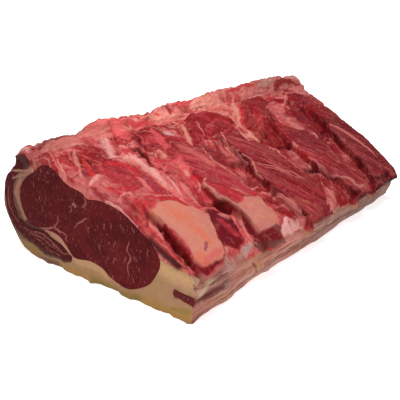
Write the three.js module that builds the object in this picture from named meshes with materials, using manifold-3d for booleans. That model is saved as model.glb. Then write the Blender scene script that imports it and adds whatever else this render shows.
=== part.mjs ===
// Beef striploin, boned out, lying on its fat cap with the rib side up.
// Millimetres. X runs along the loin from the near cut end to the far end, Y across it from the
// flank side to the spine side, and Z is up. A place in the loin is given by three numbers:
// along, from 0 at the near end to 1 at the far end, across, in mm from the flank edge, and height.
import * as THREE from 'three';
import { mergeVertices } from 'three/addons/utils/BufferGeometryUtils.js';
import Module from 'manifold-3d';

const wasm = await Module();
wasm.setup();

// Plan: both ends slant so that the spine side is the longer one. The near end is cut straight, and
// the far end is cut back from its slant, by so many mm at places across, but left long at the spine.
const SHOULDER_ACROSS = 170;
const FLANK_LENGTH = 313;
const NEAR_SLANT = -24;
const FAR_SLANT = 49;
const FAR_END = [
  [-25, 3], [0, 5], [24, 6], [50, 10], [76, 14], [100, 11], [124, 3], [150, -2], [168, -18], [184, -15],
  [220, 2],
];
const FAR_END_STEPS = 16;
const FAR_REACH = 1.08;
const OFFCUT_LENGTH = 60;
const OFFCUT_HEIGHT = 150;
const OFFCUT_BELOW = 20;

// Height of the rib side at the flank edge and at the spine shoulder, and its crown between them
const NEAR_FLANK_HEIGHT = 47;
const NEAR_SHOULDER_HEIGHT = 97;
const FAR_FLANK_HEIGHT = 33;
const FAR_SHOULDER_HEIGHT = 81;
const CROWN = 13;

// Spine side: how far its foot and its fullest point stand out, and the ridge of fat at its top, which
// is low at the near end and stands over the rib meat behind it
const SPINE_FOOT = 18;
const SPINE_BULGE = 20;
const SPINE_BULGE_TOP = 0.92;
const SPINE_ROUND = 4;
const SPINE_ROUND_FROM = 0.85;
const SPINE_LOWEST = 0.05;
const RIDGE_HEIGHT = 11;
const RIDGE_NEAR_HEIGHT = 1;
const RIDGE_GROWS_ALONG = 0.16;
const RIDGE_INNER_ACROSS = 176;
const RIDGE_INNER_SHARE = 0.7;

// Flat foot that the loin lies on, set in from the spine side and from the flank side, which is steep
// at the near end and rounded behind it, and the shares of the flank side's height with a corner
const SPINE_FOOT_INSET = 5;
const FLANK_FOOT_NEAR = 4;
const FLANK_FOOT_INSET = 7;
const FLANK_ROUNDS_ALONG = 0.25;
const FLANK_CORNERS = [0.75, 0.4, 0.15];
const FAT_BRIM_ACROSS = 1;

// Rib side: a strap of meat between each two ribs, with a groove where each rib was pulled out.
// A strap's middle and half width are shares of the loin's length.
const STRAPS = [
  { middle: 0.105, half: 0.060 },
  { middle: 0.318, half: 0.057 },
  { middle: 0.520, half: 0.074 },
  { middle: 0.745, half: 0.070 },
  { middle: 0.940, half: 0.072 },
];
const STRAP_EDGE = 0.28;
const STRAP_TAPER = 0.35;
const STRAP_TAPER_FROM = 85;
const STRAP_TAPER_TO = 150;
const STRAP_OVERHANG = 6;
const STRAP_END_HEIGHT = 11;
const STRAP_END_SHARE = 0.8;
const STRAP_END_ROUND = 0.5;
const STRAP_END_BULGE = 0.3;
const GROOVE_DEPTH = 11;
const GROOVE_SETBACK = 6;
const GROOVE_FADE_FROM = 105;
const GROOVE_FADE_TO = 168;
const GROOVE_LEFT_AT_SPINE = 0.4;
const FAR_THINNING = 0.2;

// Near end of the rib side: a low rim, and a cleft beside the first strap that closes toward the spine
const RIM_DROP = 2;
const RIM_ALONG = 0.03;
const CLEFT_CLOSES_FROM = 40;
const CLEFT_CLOSES_TO = 75;

// Uneven surfaces: lumps where the rib heads sat, and the hand-trimmed sides of the fat
const LUMP_HEIGHT = 1.8;
const LUMP_FROM = 70;
const LUMP_TO = 130;
const LUMP_PITCH_ALONG = 0.17;
const LUMP_PITCH_ACROSS = 44;
const TRIM_WAVE = 1.2;
const TRIM_PITCHES = [0.27, 0.15];

// Layer of rib meat: its thickness at the near flank edge, over the eye's flank edge and at the
// spine, and the wall that it ends in
const RIB_MEAT_NEAR_EDGE = 4;
const RIB_MEAT_EYE_EDGE = 16;
const RIB_MEAT_SPINE = 30;
const RIB_MEAT_GROWS_ALONG = 0.06;
const EYE_EDGE_ACROSS = 33;
const RIB_MEAT_WALL_FOOT = 162;
const RIB_MEAT_WALL_TOP = 168;
const RIB_MEAT_UNDERSIDE = [14, 25, 45, 100, RIB_MEAT_WALL_FOOT];

// Muscles: outlines at the near end, as places across and heights, and how they change behind it
const EYE_OUTLINE = [
  [151, 93], [137, 92], [128, 85], [104, 79], [84, 81], [62, 72], [45, 62], [33, 44], [37, 30],
  [60, 13], [80, 12], [95, 23], [120, 21], [139, 33], [152, 36], [175, 32], [182, 61], [173, 79],
];
const CAP_PATH = [
  [176, 90], [185, 82], [194, 72], [199, 57], [199, 42], [193, 29], [181, 22], [164, 20], [147, 18],
  [130, 16],
];
const CAP_HALF_WIDTHS = [5, 3, 3.5, 4.5, 5, 5, 6, 6, 5, 2.5];
const FLANK_MUSCLE_PATH = [[-2, 23], [8, 23.5], [19, 25]];
const FLANK_MUSCLE_HALF_WIDTHS = [3, 3.2, 2];
const FLANK_MUSCLE_SINKS = 6;
const FLANK_MUSCLE_SINKS_ALONG = 0.13;
const MUSCLE_FLOOR = 5;
const MUSCLE_DIP = 0.18;
const MUSCLE_DIP_ALONG = 0.08;

// Fineness of the solids, the gaps between neighbours and how far a cut runs past the ends
const STATIONS = 62;
const RIB_TOP_STEPS = 21;
const SPINE_STEPS = 9;
const MUSCLE_STATIONS = 19;
const EYE_STEPS = 32;
const CAP_STEPS = 14;
const FLANK_MUSCLE_STEPS = 4;
const GAP = 0.3;
const WALL_GAP = 0.8;
const CUT_PAST_END = 0.03;

const { lerp, smoothstep, clamp } = THREE.MathUtils;

// Where a place in the loin lies, before the whole is centred
function place(along, across, height) {
  const share = across / SHOULDER_ACROSS;
  const near = NEAR_SLANT * share;
  const far = FLANK_LENGTH + FAR_SLANT * share;
  return new THREE.Vector3(lerp(near, far, along), across, height);
}

// Height of the rib side over the straps, without the grooves
function crest(along, across) {
  const share = clamp(across / SHOULDER_ACROSS, 0, 1);
  const flank = lerp(NEAR_FLANK_HEIGHT, FAR_FLANK_HEIGHT, along);
  const shoulder = lerp(NEAR_SHOULDER_HEIGHT, FAR_SHOULDER_HEIGHT, along);
  return lerp(flank, shoulder, share) + CROWN * Math.sin(Math.PI * share);
}

// The rib meat gets thinner and its grooves shallower toward the far end
function thinning(along) {
  return 1 - FAR_THINNING * along;
}

// 1 on a strap and 0 in a groove
function strapAt(along, across) {
  const taper = 1 - STRAP_TAPER * smoothstep(across, STRAP_TAPER_FROM, STRAP_TAPER_TO);
  const shares = STRAPS.map(({ middle, half }) => {
    const reach = Math.abs(along - middle) / (half * taper);
    return 1 - smoothstep(reach, 1 - STRAP_EDGE, 1 + STRAP_EDGE);
  });
  return Math.max(...shares);
}

function grooveDepth(along, across) {
  const fade = lerp(1, GROOVE_LEFT_AT_SPINE, smoothstep(across, GROOVE_FADE_FROM, GROOVE_FADE_TO));
  const behindRim = smoothstep(along, 0, RIM_ALONG);
  const beforeStraps = along < STRAPS[0].middle;
  const open = beforeStraps ? 1 - smoothstep(across, CLEFT_CLOSES_FROM, CLEFT_CLOSES_TO) : 1;
  return GROOVE_DEPTH * thinning(along) * fade * behindRim * open * (1 - strapAt(along, across));
}

function lumps(along, across) {
  const rows = Math.sin(2 * Math.PI * along / LUMP_PITCH_ALONG + across / LUMP_PITCH_ACROSS);
  const columns = Math.sin(2 * Math.PI * across / LUMP_PITCH_ACROSS);
  return LUMP_HEIGHT * rows * columns * smoothstep(across, LUMP_FROM, LUMP_TO);
}

// Height of the rib side, with its grooves
function ribSide(along, across) {
  const behindRim = smoothstep(along, 0, RIM_ALONG);
  const relief = lumps(along, across) * behindRim - grooveDepth(along, across);
  return crest(along, across) + relief - RIM_DROP * (1 - behindRim);
}

// Flank edge of the rib side: straps stand out over the fat and grooves stop short of it
function ribEdge(along) {
  return lerp(GROOVE_SETBACK, -STRAP_OVERHANG, strapAt(along, 0));
}

// Height of the rib meat's underside
function ribUnder(along, across) {
  const grown = smoothstep(along, 0, RIB_MEAT_GROWS_ALONG);
  const inward = clamp(across / EYE_EDGE_ACROSS, 0, 1);
  const nearEdge = lerp(RIB_MEAT_NEAR_EDGE, RIB_MEAT_EYE_EDGE, inward);
  const edge = lerp(nearEdge, RIB_MEAT_EYE_EDGE, grown);
  const spineward = clamp((across - EYE_EDGE_ACROSS) / (RIB_MEAT_WALL_FOOT - EYE_EDGE_ACROSS), 0, 1);
  return crest(along, across) - thinning(along) * lerp(edge, RIB_MEAT_SPINE, spineward);
}

// Section of the rib meat: along its underside to the spine, then back over the straps
function ribMeatSection(along) {
  const section = RIB_MEAT_UNDERSIDE.map((across) => [across, ribUnder(along, across)]);
  const edge = ribEdge(along);
  for (let step = 0; step <= RIB_TOP_STEPS; step += 1) {
    const across = lerp(RIB_MEAT_WALL_TOP, edge, step / RIB_TOP_STEPS);
    section.push([across, ribSide(along, across)]);
  }
  const top = ribSide(along, edge);
  const endHeight = Math.min(STRAP_END_HEIGHT, STRAP_END_SHARE * (top - ribUnder(along, edge)));
  section.push([edge - STRAP_END_ROUND, top - STRAP_END_BULGE * endHeight]);
  section.push([edge + STRAP_END_ROUND, top - endHeight]);
  return section;
}

// Height of the ridge of fat along the spine
function ridgeHeight(along) {
  const grown = smoothstep(along, 0, RIDGE_GROWS_ALONG);
  return crest(along, SHOULDER_ACROSS) + lerp(RIDGE_NEAR_HEIGHT, RIDGE_HEIGHT, grown);
}

// How far the fat's side stands out from its plain form
function trim(along, turn) {
  const waves = TRIM_PITCHES.map((pitch, index) => {
    const phase = (2 + index) * turn;
    return Math.sin(2 * Math.PI * along / pitch + phase);
  });
  return TRIM_WAVE * waves.reduce((sum, wave) => sum + wave) / waves.length;
}

// Section of the fat cap: the flat foot, up the spine side and over the shoulder, back along the
// underside of the rib meat and down the flank side
function fatCapSection(along) {
  const spineFoot = SHOULDER_ACROSS + SPINE_FOOT;
  const flankFoot = lerp(FLANK_FOOT_NEAR, FLANK_FOOT_INSET, smoothstep(along, 0, FLANK_ROUNDS_ALONG));
  const section = [[flankFoot, 0], [spineFoot - SPINE_FOOT_INSET, 0]];
  const ridge = ridgeHeight(along);
  for (let step = 0; step <= SPINE_STEPS; step += 1) {
    const rise = lerp(SPINE_LOWEST, 1, step / SPINE_STEPS);
    const bulge = SPINE_BULGE * Math.sin(Math.PI * Math.min(rise / SPINE_BULGE_TOP, 1));
    const round = SPINE_ROUND * smoothstep(rise, SPINE_ROUND_FROM, 1);
    section.push([spineFoot + bulge - round + trim(along, rise), rise * ridge]);
  }
  const ribTop = ribSide(along, RIB_MEAT_WALL_TOP);
  section.push([RIDGE_INNER_ACROSS, lerp(ribTop, ridge, RIDGE_INNER_SHARE)]);
  section.push([RIB_MEAT_WALL_TOP + WALL_GAP, ribTop]);
  for (const across of RIB_MEAT_UNDERSIDE.slice().reverse()) {
    section.push([across + WALL_GAP, ribUnder(along, across) - GAP]);
  }
  const brim = ribUnder(along, 0) - GAP;
  section.push([FAT_BRIM_ACROSS, brim]);
  for (const rise of FLANK_CORNERS) {
    section.push([flankFoot * (1 - rise) ** 2 + trim(along, rise), brim * rise]);
  }
  return section;
}

// A muscle's outline shrinks with the loin's height, and dips under the straps behind the near end
function carried(along, [across, height]) {
  const dip = 1 - MUSCLE_DIP * smoothstep(along, 0, MUSCLE_DIP_ALONG);
  const scale = dip * crest(along, across) / crest(0, across);
  return [across, MUSCLE_FLOOR + (height - MUSCLE_FLOOR) * scale];
}

function curveThrough(points, closed) {
  const knots = points.map(([across, height]) => new THREE.Vector3(across, height, 0));
  return new THREE.CatmullRomCurve3(knots, closed);
}

// Closed outline through a few points, moved outward by grow
function roundOutline(points, steps, grow) {
  const curve = curveThrough(points, true);
  const outline = [];
  for (let step = 0; step < steps; step += 1) {
    const point = curve.getPointAt(step / steps);
    const tangent = curve.getTangentAt(step / steps);
    outline.push([point.x + grow * tangent.y, point.y - grow * tangent.x]);
  }
  return outline;
}

// Closed outline of a band along a path, with a half width at each of the path's points
function bandOutline(path, halfWidths, steps, grow) {
  const curve = curveThrough(path, false);
  const spans = path.length - 1;
  const left = [];
  const right = [];
  for (let step = 0; step <= steps; step += 1) {
    const share = step / steps;
    const span = Math.min(Math.floor(share * spans), spans - 1);
    const half = lerp(halfWidths[span], halfWidths[span + 1], share * spans - span) + grow;
    const tangent = curve.getTangent(share);
    const atStart = step === 0 ? -grow : 0;
    const atEnd = step === steps ? grow : 0;
    const point = curve.getPoint(share).addScaledVector(tangent, atStart + atEnd);
    left.push([point.x - half * tangent.y, point.y + half * tangent.x]);
    right.unshift([point.x + half * tangent.y, point.y - half * tangent.x]);
  }
  return left.concat(right);
}

function corners(section) {
  return section.map(([across, height]) => new THREE.Vector2(across, height));
}

function anticlockwise(section) {
  return THREE.ShapeUtils.isClockWise(corners(section)) ? section.slice().reverse() : section;
}

// Evenly spaced stations from the near end to past the far end, which is cut afterwards
function evenly(steps) {
  return Array.from({ length: steps + 1 }, (_, step) => FAR_REACH * step / steps);
}

// Closed solid from corner coordinates and from the corner numbers of its triangles
function solidFrom(positions, triangles) {
  return new wasm.Manifold(new wasm.Mesh({
    numProp: 3,
    vertProperties: new Float32Array(positions),
    triVerts: new Uint32Array(triangles),
  }));
}

// Solid through a section at each station, with flat ends
function loft(sectionAt, stations) {
  const sections = stations.map((along) => anticlockwise(sectionAt(along)));
  const positions = sections.flatMap((section, station) => section.flatMap(
    ([across, height]) => place(stations[station], across, height).toArray(),
  ));
  const triangles = [];
  const ring = sections[0].length;
  const last = stations.length - 1;
  for (let station = 0; station < last; station += 1) {
    for (let point = 0; point < ring; point += 1) {
      const here = station * ring + point;
      const next = station * ring + (point + 1) % ring;
      triangles.push(here, next, next + ring, here, next + ring, here + ring);
    }
  }
  for (const [a, b, c] of THREE.ShapeUtils.triangulateShape(corners(sections[0]), [])) {
    triangles.push(a, c, b);
  }
  const farEnd = last * ring;
  for (const [a, b, c] of THREE.ShapeUtils.triangulateShape(corners(sections[last]), [])) {
    triangles.push(farEnd + a, farEnd + b, farEnd + c);
  }
  return solidFrom(positions, triangles);
}

// What is cut off the far end: a plate with the far end's curve as one side
function farOffcut() {
  const knots = FAR_END.map(([across, back]) => place(1, across, 0).sub(new THREE.Vector3(back, 0, 0)));
  const edge = new THREE.CatmullRomCurve3(knots).getPoints(FAR_END_STEPS);
  const beyond = Math.max(...edge.map(({ x }) => x)) + OFFCUT_LENGTH;
  const outline = edge.map(({ x, y }) => new THREE.Vector2(x, y));
  outline.push(new THREE.Vector2(beyond, edge.at(-1).y), new THREE.Vector2(beyond, edge[0].y));
  const shape = new THREE.Shape(outline);
  const plate = new THREE.ExtrudeGeometry(shape, { depth: OFFCUT_HEIGHT, bevelEnabled: false });
  plate.translate(0, 0, -OFFCUT_BELOW);
  plate.deleteAttribute('normal');
  plate.deleteAttribute('uv');
  const merged = mergeVertices(plate);
  return solidFrom(merged.attributes.position.array, merged.index.array);
}

function eyeSections(grow) {
  const outline = roundOutline(EYE_OUTLINE, EYE_STEPS, grow);
  return (along) => outline.map((point) => carried(along, point));
}

function capSections(grow) {
  const outline = bandOutline(CAP_PATH, CAP_HALF_WIDTHS, CAP_STEPS, grow);
  return (along) => outline.map((point) => carried(along, point));
}

// The flank muscle shows on the flank side near the cut, and sinks into the fat behind it
function flankMuscleSections(grow) {
  const outline = bandOutline(FLANK_MUSCLE_PATH, FLANK_MUSCLE_HALF_WIDTHS, FLANK_MUSCLE_STEPS, grow);
  return (along) => outline.map(([across, height]) => {
    const sunk = FLANK_MUSCLE_SINKS * smoothstep(along, 0, FLANK_MUSCLE_SINKS_ALONG);
    return carried(along, [across + sunk, height]);
  });
}

// A muscle is a solid, and a slightly larger cut makes room for it in its neighbours
function muscle(sectionsWith) {
  const stations = evenly(MUSCLE_STATIONS);
  return {
    solid: loft(sectionsWith(0), stations),
    cut: loft(sectionsWith(GAP), [-CUT_PAST_END, ...stations, FAR_REACH + CUT_PAST_END]),
  };
}

function meshOf(name, solid, color, roughness) {
  const { vertProperties, triVerts } = solid.getMesh();
  const geometry = new THREE.BufferGeometry();
  geometry.setAttribute('position', new THREE.BufferAttribute(vertProperties, 3));
  geometry.setIndex(new THREE.BufferAttribute(triVerts, 1));
  geometry.computeVertexNormals();
  const material = new THREE.MeshStandardMaterial({ color, roughness, metalness: 0 });
  const mesh = new THREE.Mesh(geometry, material);
  mesh.name = name;
  return mesh;
}

const eye = muscle(eyeSections);
const cap = muscle(capSections);
const flank = muscle(flankMuscleSections);
const stations = evenly(STATIONS);
const ribMeat = loft(ribMeatSection, stations).subtract(eye.cut).subtract(cap.cut);
const fatCap = loft(fatCapSection, stations).subtract(eye.cut).subtract(cap.cut).subtract(flank.cut);
const offcut = farOffcut();

const striploin = new THREE.Group();
striploin.add(
  meshOf('fat_cap', fatCap.subtract(offcut), 0xd8b48c, 0.5),
  meshOf('eye_muscle', eye.solid.subtract(offcut), 0x5c1f22, 0.42),
  meshOf('cap_muscle', cap.solid.subtract(offcut), 0x4f1c1f, 0.42),
  meshOf('flank_muscle', flank.solid.subtract(offcut), 0x5a2023, 0.42),
  meshOf('rib_meat', ribMeat.subtract(offcut), 0xb03a3c, 0.38),
);

// The origin is in the middle of the footprint, at the level that the loin lies on
const box = new THREE.Box3().setFromObject(striploin);
const middle = box.getCenter(new THREE.Vector3());
striploin.position.set(-middle.x, -middle.y, -box.min.z);

export default striploin;
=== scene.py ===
"""Looks of a boned-out beef striploin that lies on its fat cap with the rib side up.

A place in the loin is given as in its CAD source: along, from 0 at the near cut end to 1 at the far end,
across, in mm from the flank edge, and height, in mm over the floor. Meshes are made in metres.
"""
import math

import bmesh
import bpy
import numpy as np
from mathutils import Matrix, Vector
from mathutils.bvhtree import BVHTree


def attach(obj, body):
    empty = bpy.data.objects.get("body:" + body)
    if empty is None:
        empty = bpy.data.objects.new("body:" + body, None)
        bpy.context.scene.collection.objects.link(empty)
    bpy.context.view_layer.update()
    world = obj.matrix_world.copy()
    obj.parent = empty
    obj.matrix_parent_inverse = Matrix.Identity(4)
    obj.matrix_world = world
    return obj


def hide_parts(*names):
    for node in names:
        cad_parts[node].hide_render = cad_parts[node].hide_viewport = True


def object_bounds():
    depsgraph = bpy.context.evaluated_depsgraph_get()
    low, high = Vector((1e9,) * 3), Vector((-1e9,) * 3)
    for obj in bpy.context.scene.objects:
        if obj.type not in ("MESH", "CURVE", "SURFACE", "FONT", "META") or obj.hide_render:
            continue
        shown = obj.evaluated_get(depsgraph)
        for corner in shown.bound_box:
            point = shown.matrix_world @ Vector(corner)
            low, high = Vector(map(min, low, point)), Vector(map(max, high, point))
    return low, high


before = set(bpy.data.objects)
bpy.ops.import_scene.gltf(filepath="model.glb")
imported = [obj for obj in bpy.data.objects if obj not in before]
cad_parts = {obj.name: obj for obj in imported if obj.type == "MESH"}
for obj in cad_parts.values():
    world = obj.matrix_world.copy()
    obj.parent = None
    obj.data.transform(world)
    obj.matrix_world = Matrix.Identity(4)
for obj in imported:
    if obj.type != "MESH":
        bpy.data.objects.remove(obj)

bl_info = {
    "name": "Beef striploin",
    "version": (1, 0, 0),
    "blender": (4, 5, 0),
    "location": "View3D > Sidebar > Striploin",
    "description": "Dresses the CAD frame of a beef striploin with meat, fat and sinew",
    "category": "Mesh",
}

CAD_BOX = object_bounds()
MM = 0.001

# Plan of the loin: its length at the flank edge, the slant of both ends, and how far the far end is cut
# back at places across
SHOULDER = 170
FLANK_LENGTH = 313
NEAR_SLANT = -24
FAR_SLANT = 49
FAR_END = [(-25, 3), (0, 5), (24, 6), (50, 10), (76, 14), (100, 11), (124, 3), (150, -2), (168, -18),
           (184, -15), (220, 2)]
FAR_RAGGED = 1.6
FAR_RAGGED_SIZE = 11
STRAP_STANDS_OUT = 6.5

# Heights of the rib side at the flank edge and at the shoulder, near and far, and its crown
FLANK_HEIGHTS = (47, 33)
SHOULDER_HEIGHTS = (97, 81)
CROWN = 13
FAR_THINNING = 0.2

# Layer of rib meat: its thickness at the near flank edge, over the eye's flank edge and at the spine
RIB_MEAT_EDGES = (4, 16)
RIB_MEAT_SPINE = 30
RIB_MEAT_GROWS_ALONG = 0.06
EYE_EDGE = 33
RIB_WALL_FOOT = 162
RIB_WALL_TOP = 168

# Straps of meat between the ribs: places across, and where each strap begins and ends along
STRAPS = [
    {"across": (-6, 3, 12, 25, 40, 60, 90, 125, 150, 168),
     "near": (0.016, 0.02, 0.032, 0.044, 0.047, 0.055, 0.06, 0.07, 0.085, 0.09),
     "far": (0.115, 0.125, 0.14, 0.16, 0.17, 0.15, 0.15, 0.155, 0.15, 0.14)},
    {"across": (-6, 3, 15, 30, 46, 60, 75, 92, 125, 168),
     "near": (0.268, 0.27, 0.27, 0.272, 0.257, 0.258, 0.266, 0.277, 0.28, 0.27),
     "far": (0.335, 0.345, 0.358, 0.365, 0.366, 0.38, 0.388, 0.397, 0.39, 0.37)},
    {"across": (-6, 6, 17, 30, 44, 58, 73, 94, 125, 168),
     "near": (0.464, 0.46, 0.454, 0.44, 0.441, 0.436, 0.45, 0.463, 0.475, 0.48),
     "far": (0.578, 0.594, 0.604, 0.602, 0.597, 0.58, 0.562, 0.548, 0.535, 0.52)},
    {"across": (-6, 8, 18, 31, 43, 55, 71, 96, 125, 168),
     "near": (0.725, 0.723, 0.709, 0.69, 0.667, 0.664, 0.663, 0.678, 0.70, 0.70),
     "far": (0.81, 0.826, 0.82, 0.79, 0.782, 0.79, 0.808, 0.83, 0.82, 0.80)},
    {"across": (-6, 6, 20, 34, 51, 72, 96, 125, 168),
     "near": (0.835, 0.858, 0.869, 0.866, 0.864, 0.87, 0.885, 0.90, 0.91),
     "far": (1.2, 1.2, 1.2, 1.2, 1.2, 1.2, 1.2, 1.2, 1.2)},
]

# Outlines of the muscles on the near cut end, as places across and heights
EYE_OUTLINE = [(176, 34), (163, 33), (148, 34), (139, 32), (132, 26), (123, 17), (105, 20), (92, 18),
               (84, 13), (72, 9), (60, 10), (44, 20), (35, 33), (31, 45), (36, 56), (49, 66),
               (62, 75), (75, 79), (90, 80), (101, 78), (108, 82), (120, 84), (127, 87), (135, 93),
               (144, 96), (152, 94), (162, 86), (172, 79), (180, 70), (184, 58), (183, 46)]
CAP_PATH = [(176, 90), (185, 82), (194, 72), (199, 57), (199, 42), (194, 30), (182, 24), (165, 21.5),
            (149, 19.5), (127, 14)]
CAP_HALF_WIDTHS = (5, 3, 4.5, 5.5, 6, 7, 7.5, 9, 8.5, 2.5)
FLANK_MUSCLE_PATH = [(0, 21), (8, 22), (19, 24)]
FLANK_MUSCLE_HALF_WIDTHS = (3.6, 4, 2.4)
FLANK_MUSCLE_SINKS = 6
FLANK_MUSCLE_SINKS_ALONG = 0.13
FLANK_MUSCLE_DUCKS = 0.6
FLANK_MUSCLE_DUCKS_ALONG = 0.008
MUSCLE_FLOOR = 5
MUSCLE_DIP = 0.18
MUSCLE_DIP_ALONG = 0.08
FAR_PROUD = 1.2

# Camera of the photo: what it looks at in the loin, its turn and rise, its distance and its lens
VIEW_TARGET = (106.6, 94.0, 36.7)
VIEW_TURN = math.radians(-47)
VIEW_RISE = math.radians(26)
VIEW_DISTANCE = 560
VIEW_FOCAL_PX = 597
PHOTO_PX = 400
SENSOR_MM = 36
SIGHT_REACH = (250, 1000)
SIGHT_STEP = 0.4


def srgb(red, green, blue):
    """Linear colour of a colour that is given as it looks on a screen, from 0 to 255."""
    share = np.array([red, green, blue]) / 255
    return np.where(share <= 0.04045, share / 12.92, ((share + 0.055) / 1.055) ** 2.4)


# Colours as they look on a screen; "hole" is the near-black of painted shade in clefts, cracks, holes and
# under overhangs, and "wall" is dark red meat that also serves as painted shade on strap walls and in pits
SCREEN_COLOURS = {
    "eye": (100, 26, 28), "eye dark": (76, 16, 19), "fleck": (190, 122, 116), "seam": (164, 98, 92),
    "cap": (78, 24, 25), "wedge": (70, 4, 8), "strip": (100, 34, 34), "knob": (88, 8, 8),
    "orange fat": (176, 92, 64), "crescent": (190, 130, 108), "rim brown": (112, 66, 56),
    "ridge": (210, 116, 106), "tan fat": (170, 130, 92), "pale tan": (206, 160, 114),
    "ochre": (170, 128, 66), "olive": (142, 116, 58), "green white": (190, 164, 132),
    "flank fat": (172, 110, 96), "flank tan": (178, 128, 102), "membrane": (192, 148, 140),
    "far flank": (124, 88, 80), "pad": (206, 128, 110), "pad warm": (212, 116, 92),
    "pad dusk": (200, 110, 104), "pad 2": (196, 122, 110), "end brown": (116, 70, 62),
    "wall": (120, 22, 26), "strap": (150, 30, 40), "strap red": (190, 52, 60),
    "strap far": (122, 24, 31), "groove": (150, 36, 40), "brick": (158, 54, 50), "body": (108, 22, 34),
    "hole": (60, 8, 12), "cream": (226, 146, 128), "rose": (224, 128, 122), "pink": (206, 90, 88),
    "vein": (140, 58, 76), "head": (146, 26, 33), "bright": (204, 42, 50), "ember": (196, 60, 50),
    "coral": (228, 92, 94), "white": (234, 172, 164), "cartilage": (214, 172, 176),
    "fibre light": (232, 114, 116), "fibre dark": (84, 8, 20), "raw light": (244, 170, 156),
    "raw dark": (84, 10, 14), "cut light": (138, 52, 52), "cut dark": (34, 8, 10),
    "fat light": (238, 206, 182), "fat dark": (92, 48, 36), "fat red": (122, 44, 40),
}
PALETTE = {name: srgb(*colour) for name, colour in SCREEN_COLOURS.items()}

# Seeds of the random fields that don't follow the shape's own seed
SEEDS = {"far end": 61, "paint": 41, "wall": 21, "strands": 22, "flank edge": 31, "ridge": 17, "grit": 18,
         "fat": 11, "cut fat": 13, "eye": 23, "cap": 25, "band": 27}


def smooth(value, low, high):
    """0 below low, 1 above high and a soft step between them."""
    share = np.clip((value - low) / (high - low), 0, 1)
    return share * share * (3 - 2 * share)


def mix(first, second, share):
    return first + (second - first) * share


def blend(tint, colour, share):
    """Colours moved toward a colour of the palette by a share of their own at each place."""
    return mix(tint, PALETTE[colour], np.clip(share, 0, 1)[..., None])


def plain(colour, across):
    """One colour of the palette at every place."""
    return np.broadcast_to(PALETTE[colour], (*np.shape(across), 3))


class Grain:
    """A smooth random field over a plane, the same on every run."""
    LATTICE = 256

    def __init__(self, seed):
        self.values = np.random.default_rng(seed).uniform(-1, 1, (self.LATTICE, self.LATTICE))

    def corner(self, column, row):
        return self.values[row % self.LATTICE, column % self.LATTICE]

    def at(self, u, v):
        u, v = np.broadcast_arrays(np.asarray(u, float), np.asarray(v, float))
        column, row = np.floor(u).astype(int), np.floor(v).astype(int)
        right, up = smooth(u - column, 0, 1), smooth(v - row, 0, 1)
        low = mix(self.corner(column, row), self.corner(column + 1, row), right)
        high = mix(self.corner(column, row + 1), self.corner(column + 1, row + 1), right)
        return mix(low, high, up)

    def layers(self, u, v, count=3):
        """Several fields, each twice as fine and half as strong as the one before."""
        total = 0
        for layer in range(count):
            total = total + self.at(u * 2 ** layer + 17 * layer, v * 2 ** layer + 31 * layer) / 2 ** layer
        return total

    def lines(self, u, v, width):
        """1 on thin winding lines and 0 off them."""
        return 1 - smooth(np.abs(self.layers(u, v, 2)), 0, width)


def origin():
    """Where the near flank corner of the loin lies in the frame, in mm, from the CAD box."""
    low, high = CAD_BOX
    widest = (high.y - low.y) / MM - STRAP_STANDS_OUT
    return low.x / MM - NEAR_SLANT * widest / SHOULDER, low.y / MM + STRAP_STANDS_OUT


ORIGIN_X, ORIGIN_Y = origin()


def loin_length(across):
    return FLANK_LENGTH + (FAR_SLANT - NEAR_SLANT) * across / SHOULDER


def plan(along, across):
    """Distance in mm along the loin, from the near flank corner."""
    return NEAR_SLANT * across / SHOULDER + along * loin_length(across)


def place(along, across, height):
    """Points in the frame, in metres."""
    along, across, height = np.broadcast_arrays(along, across, height)
    return np.stack([ORIGIN_X + plan(along, across), ORIGIN_Y + across, height], -1) * MM


def far_reach(across):
    """Where the ragged far end lies along, at places across."""
    places, backs = zip(*FAR_END)
    ragged = FAR_RAGGED * Grain(SEEDS["far end"]).layers(np.asarray(across) / FAR_RAGGED_SIZE, 0.5, 3)
    return 1 - (np.interp(across, places, backs) + ragged) / loin_length(across)


def crest(along, across):
    """Height of the rib side over the straps, without the grooves."""
    share = np.clip(across / SHOULDER, 0, 1)
    flank = mix(*FLANK_HEIGHTS, along)
    shoulder = mix(*SHOULDER_HEIGHTS, along)
    return mix(flank, shoulder, share) + CROWN * np.sin(np.pi * share)


def thinning(along):
    return 1 - FAR_THINNING * along


def rib_under(along, across):
    """Height of the rib meat's underside."""
    near_edge = mix(*RIB_MEAT_EDGES, np.clip(across / EYE_EDGE, 0, 1))
    edge = mix(near_edge, RIB_MEAT_EDGES[1], smooth(along, 0, RIB_MEAT_GROWS_ALONG))
    spineward = np.clip((across - EYE_EDGE) / (RIB_WALL_FOOT - EYE_EDGE), 0, 1)
    return crest(along, across) - thinning(along) * mix(edge, RIB_MEAT_SPINE, spineward)


CURVE_STEPS = 24


def curve_points(points, steps, closed=False):
    """Points of a smooth curve through a few points, evenly spaced along it."""
    knots = np.array(points, float)
    count = len(knots)
    t = np.linspace(0, 1, CURVE_STEPS, endpoint=False)[:, None]
    pieces = []
    for span in range(count if closed else count - 1):
        picks = [span - 1, span, span + 1, span + 2]
        picks = [pick % count if closed else min(max(pick, 0), count - 1) for pick in picks]
        a, b, c, d = knots[picks]
        bend = (2 * a - 5 * b + 4 * c - d) * t ** 2 + (3 * b - a - 3 * c + d) * t ** 3
        pieces.append(b + ((c - a) * t + bend) / 2)
    pieces.append(knots[:1] if closed else knots[-1:])
    fine = np.concatenate(pieces)
    run = np.concatenate([[0], np.cumsum(np.linalg.norm(np.diff(fine, axis=0), axis=1))])
    stops = np.linspace(0, run[-1], steps, endpoint=not closed)
    return np.stack([np.interp(stops, run, fine[:, axis]) for axis in range(fine.shape[1])], -1)


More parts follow.
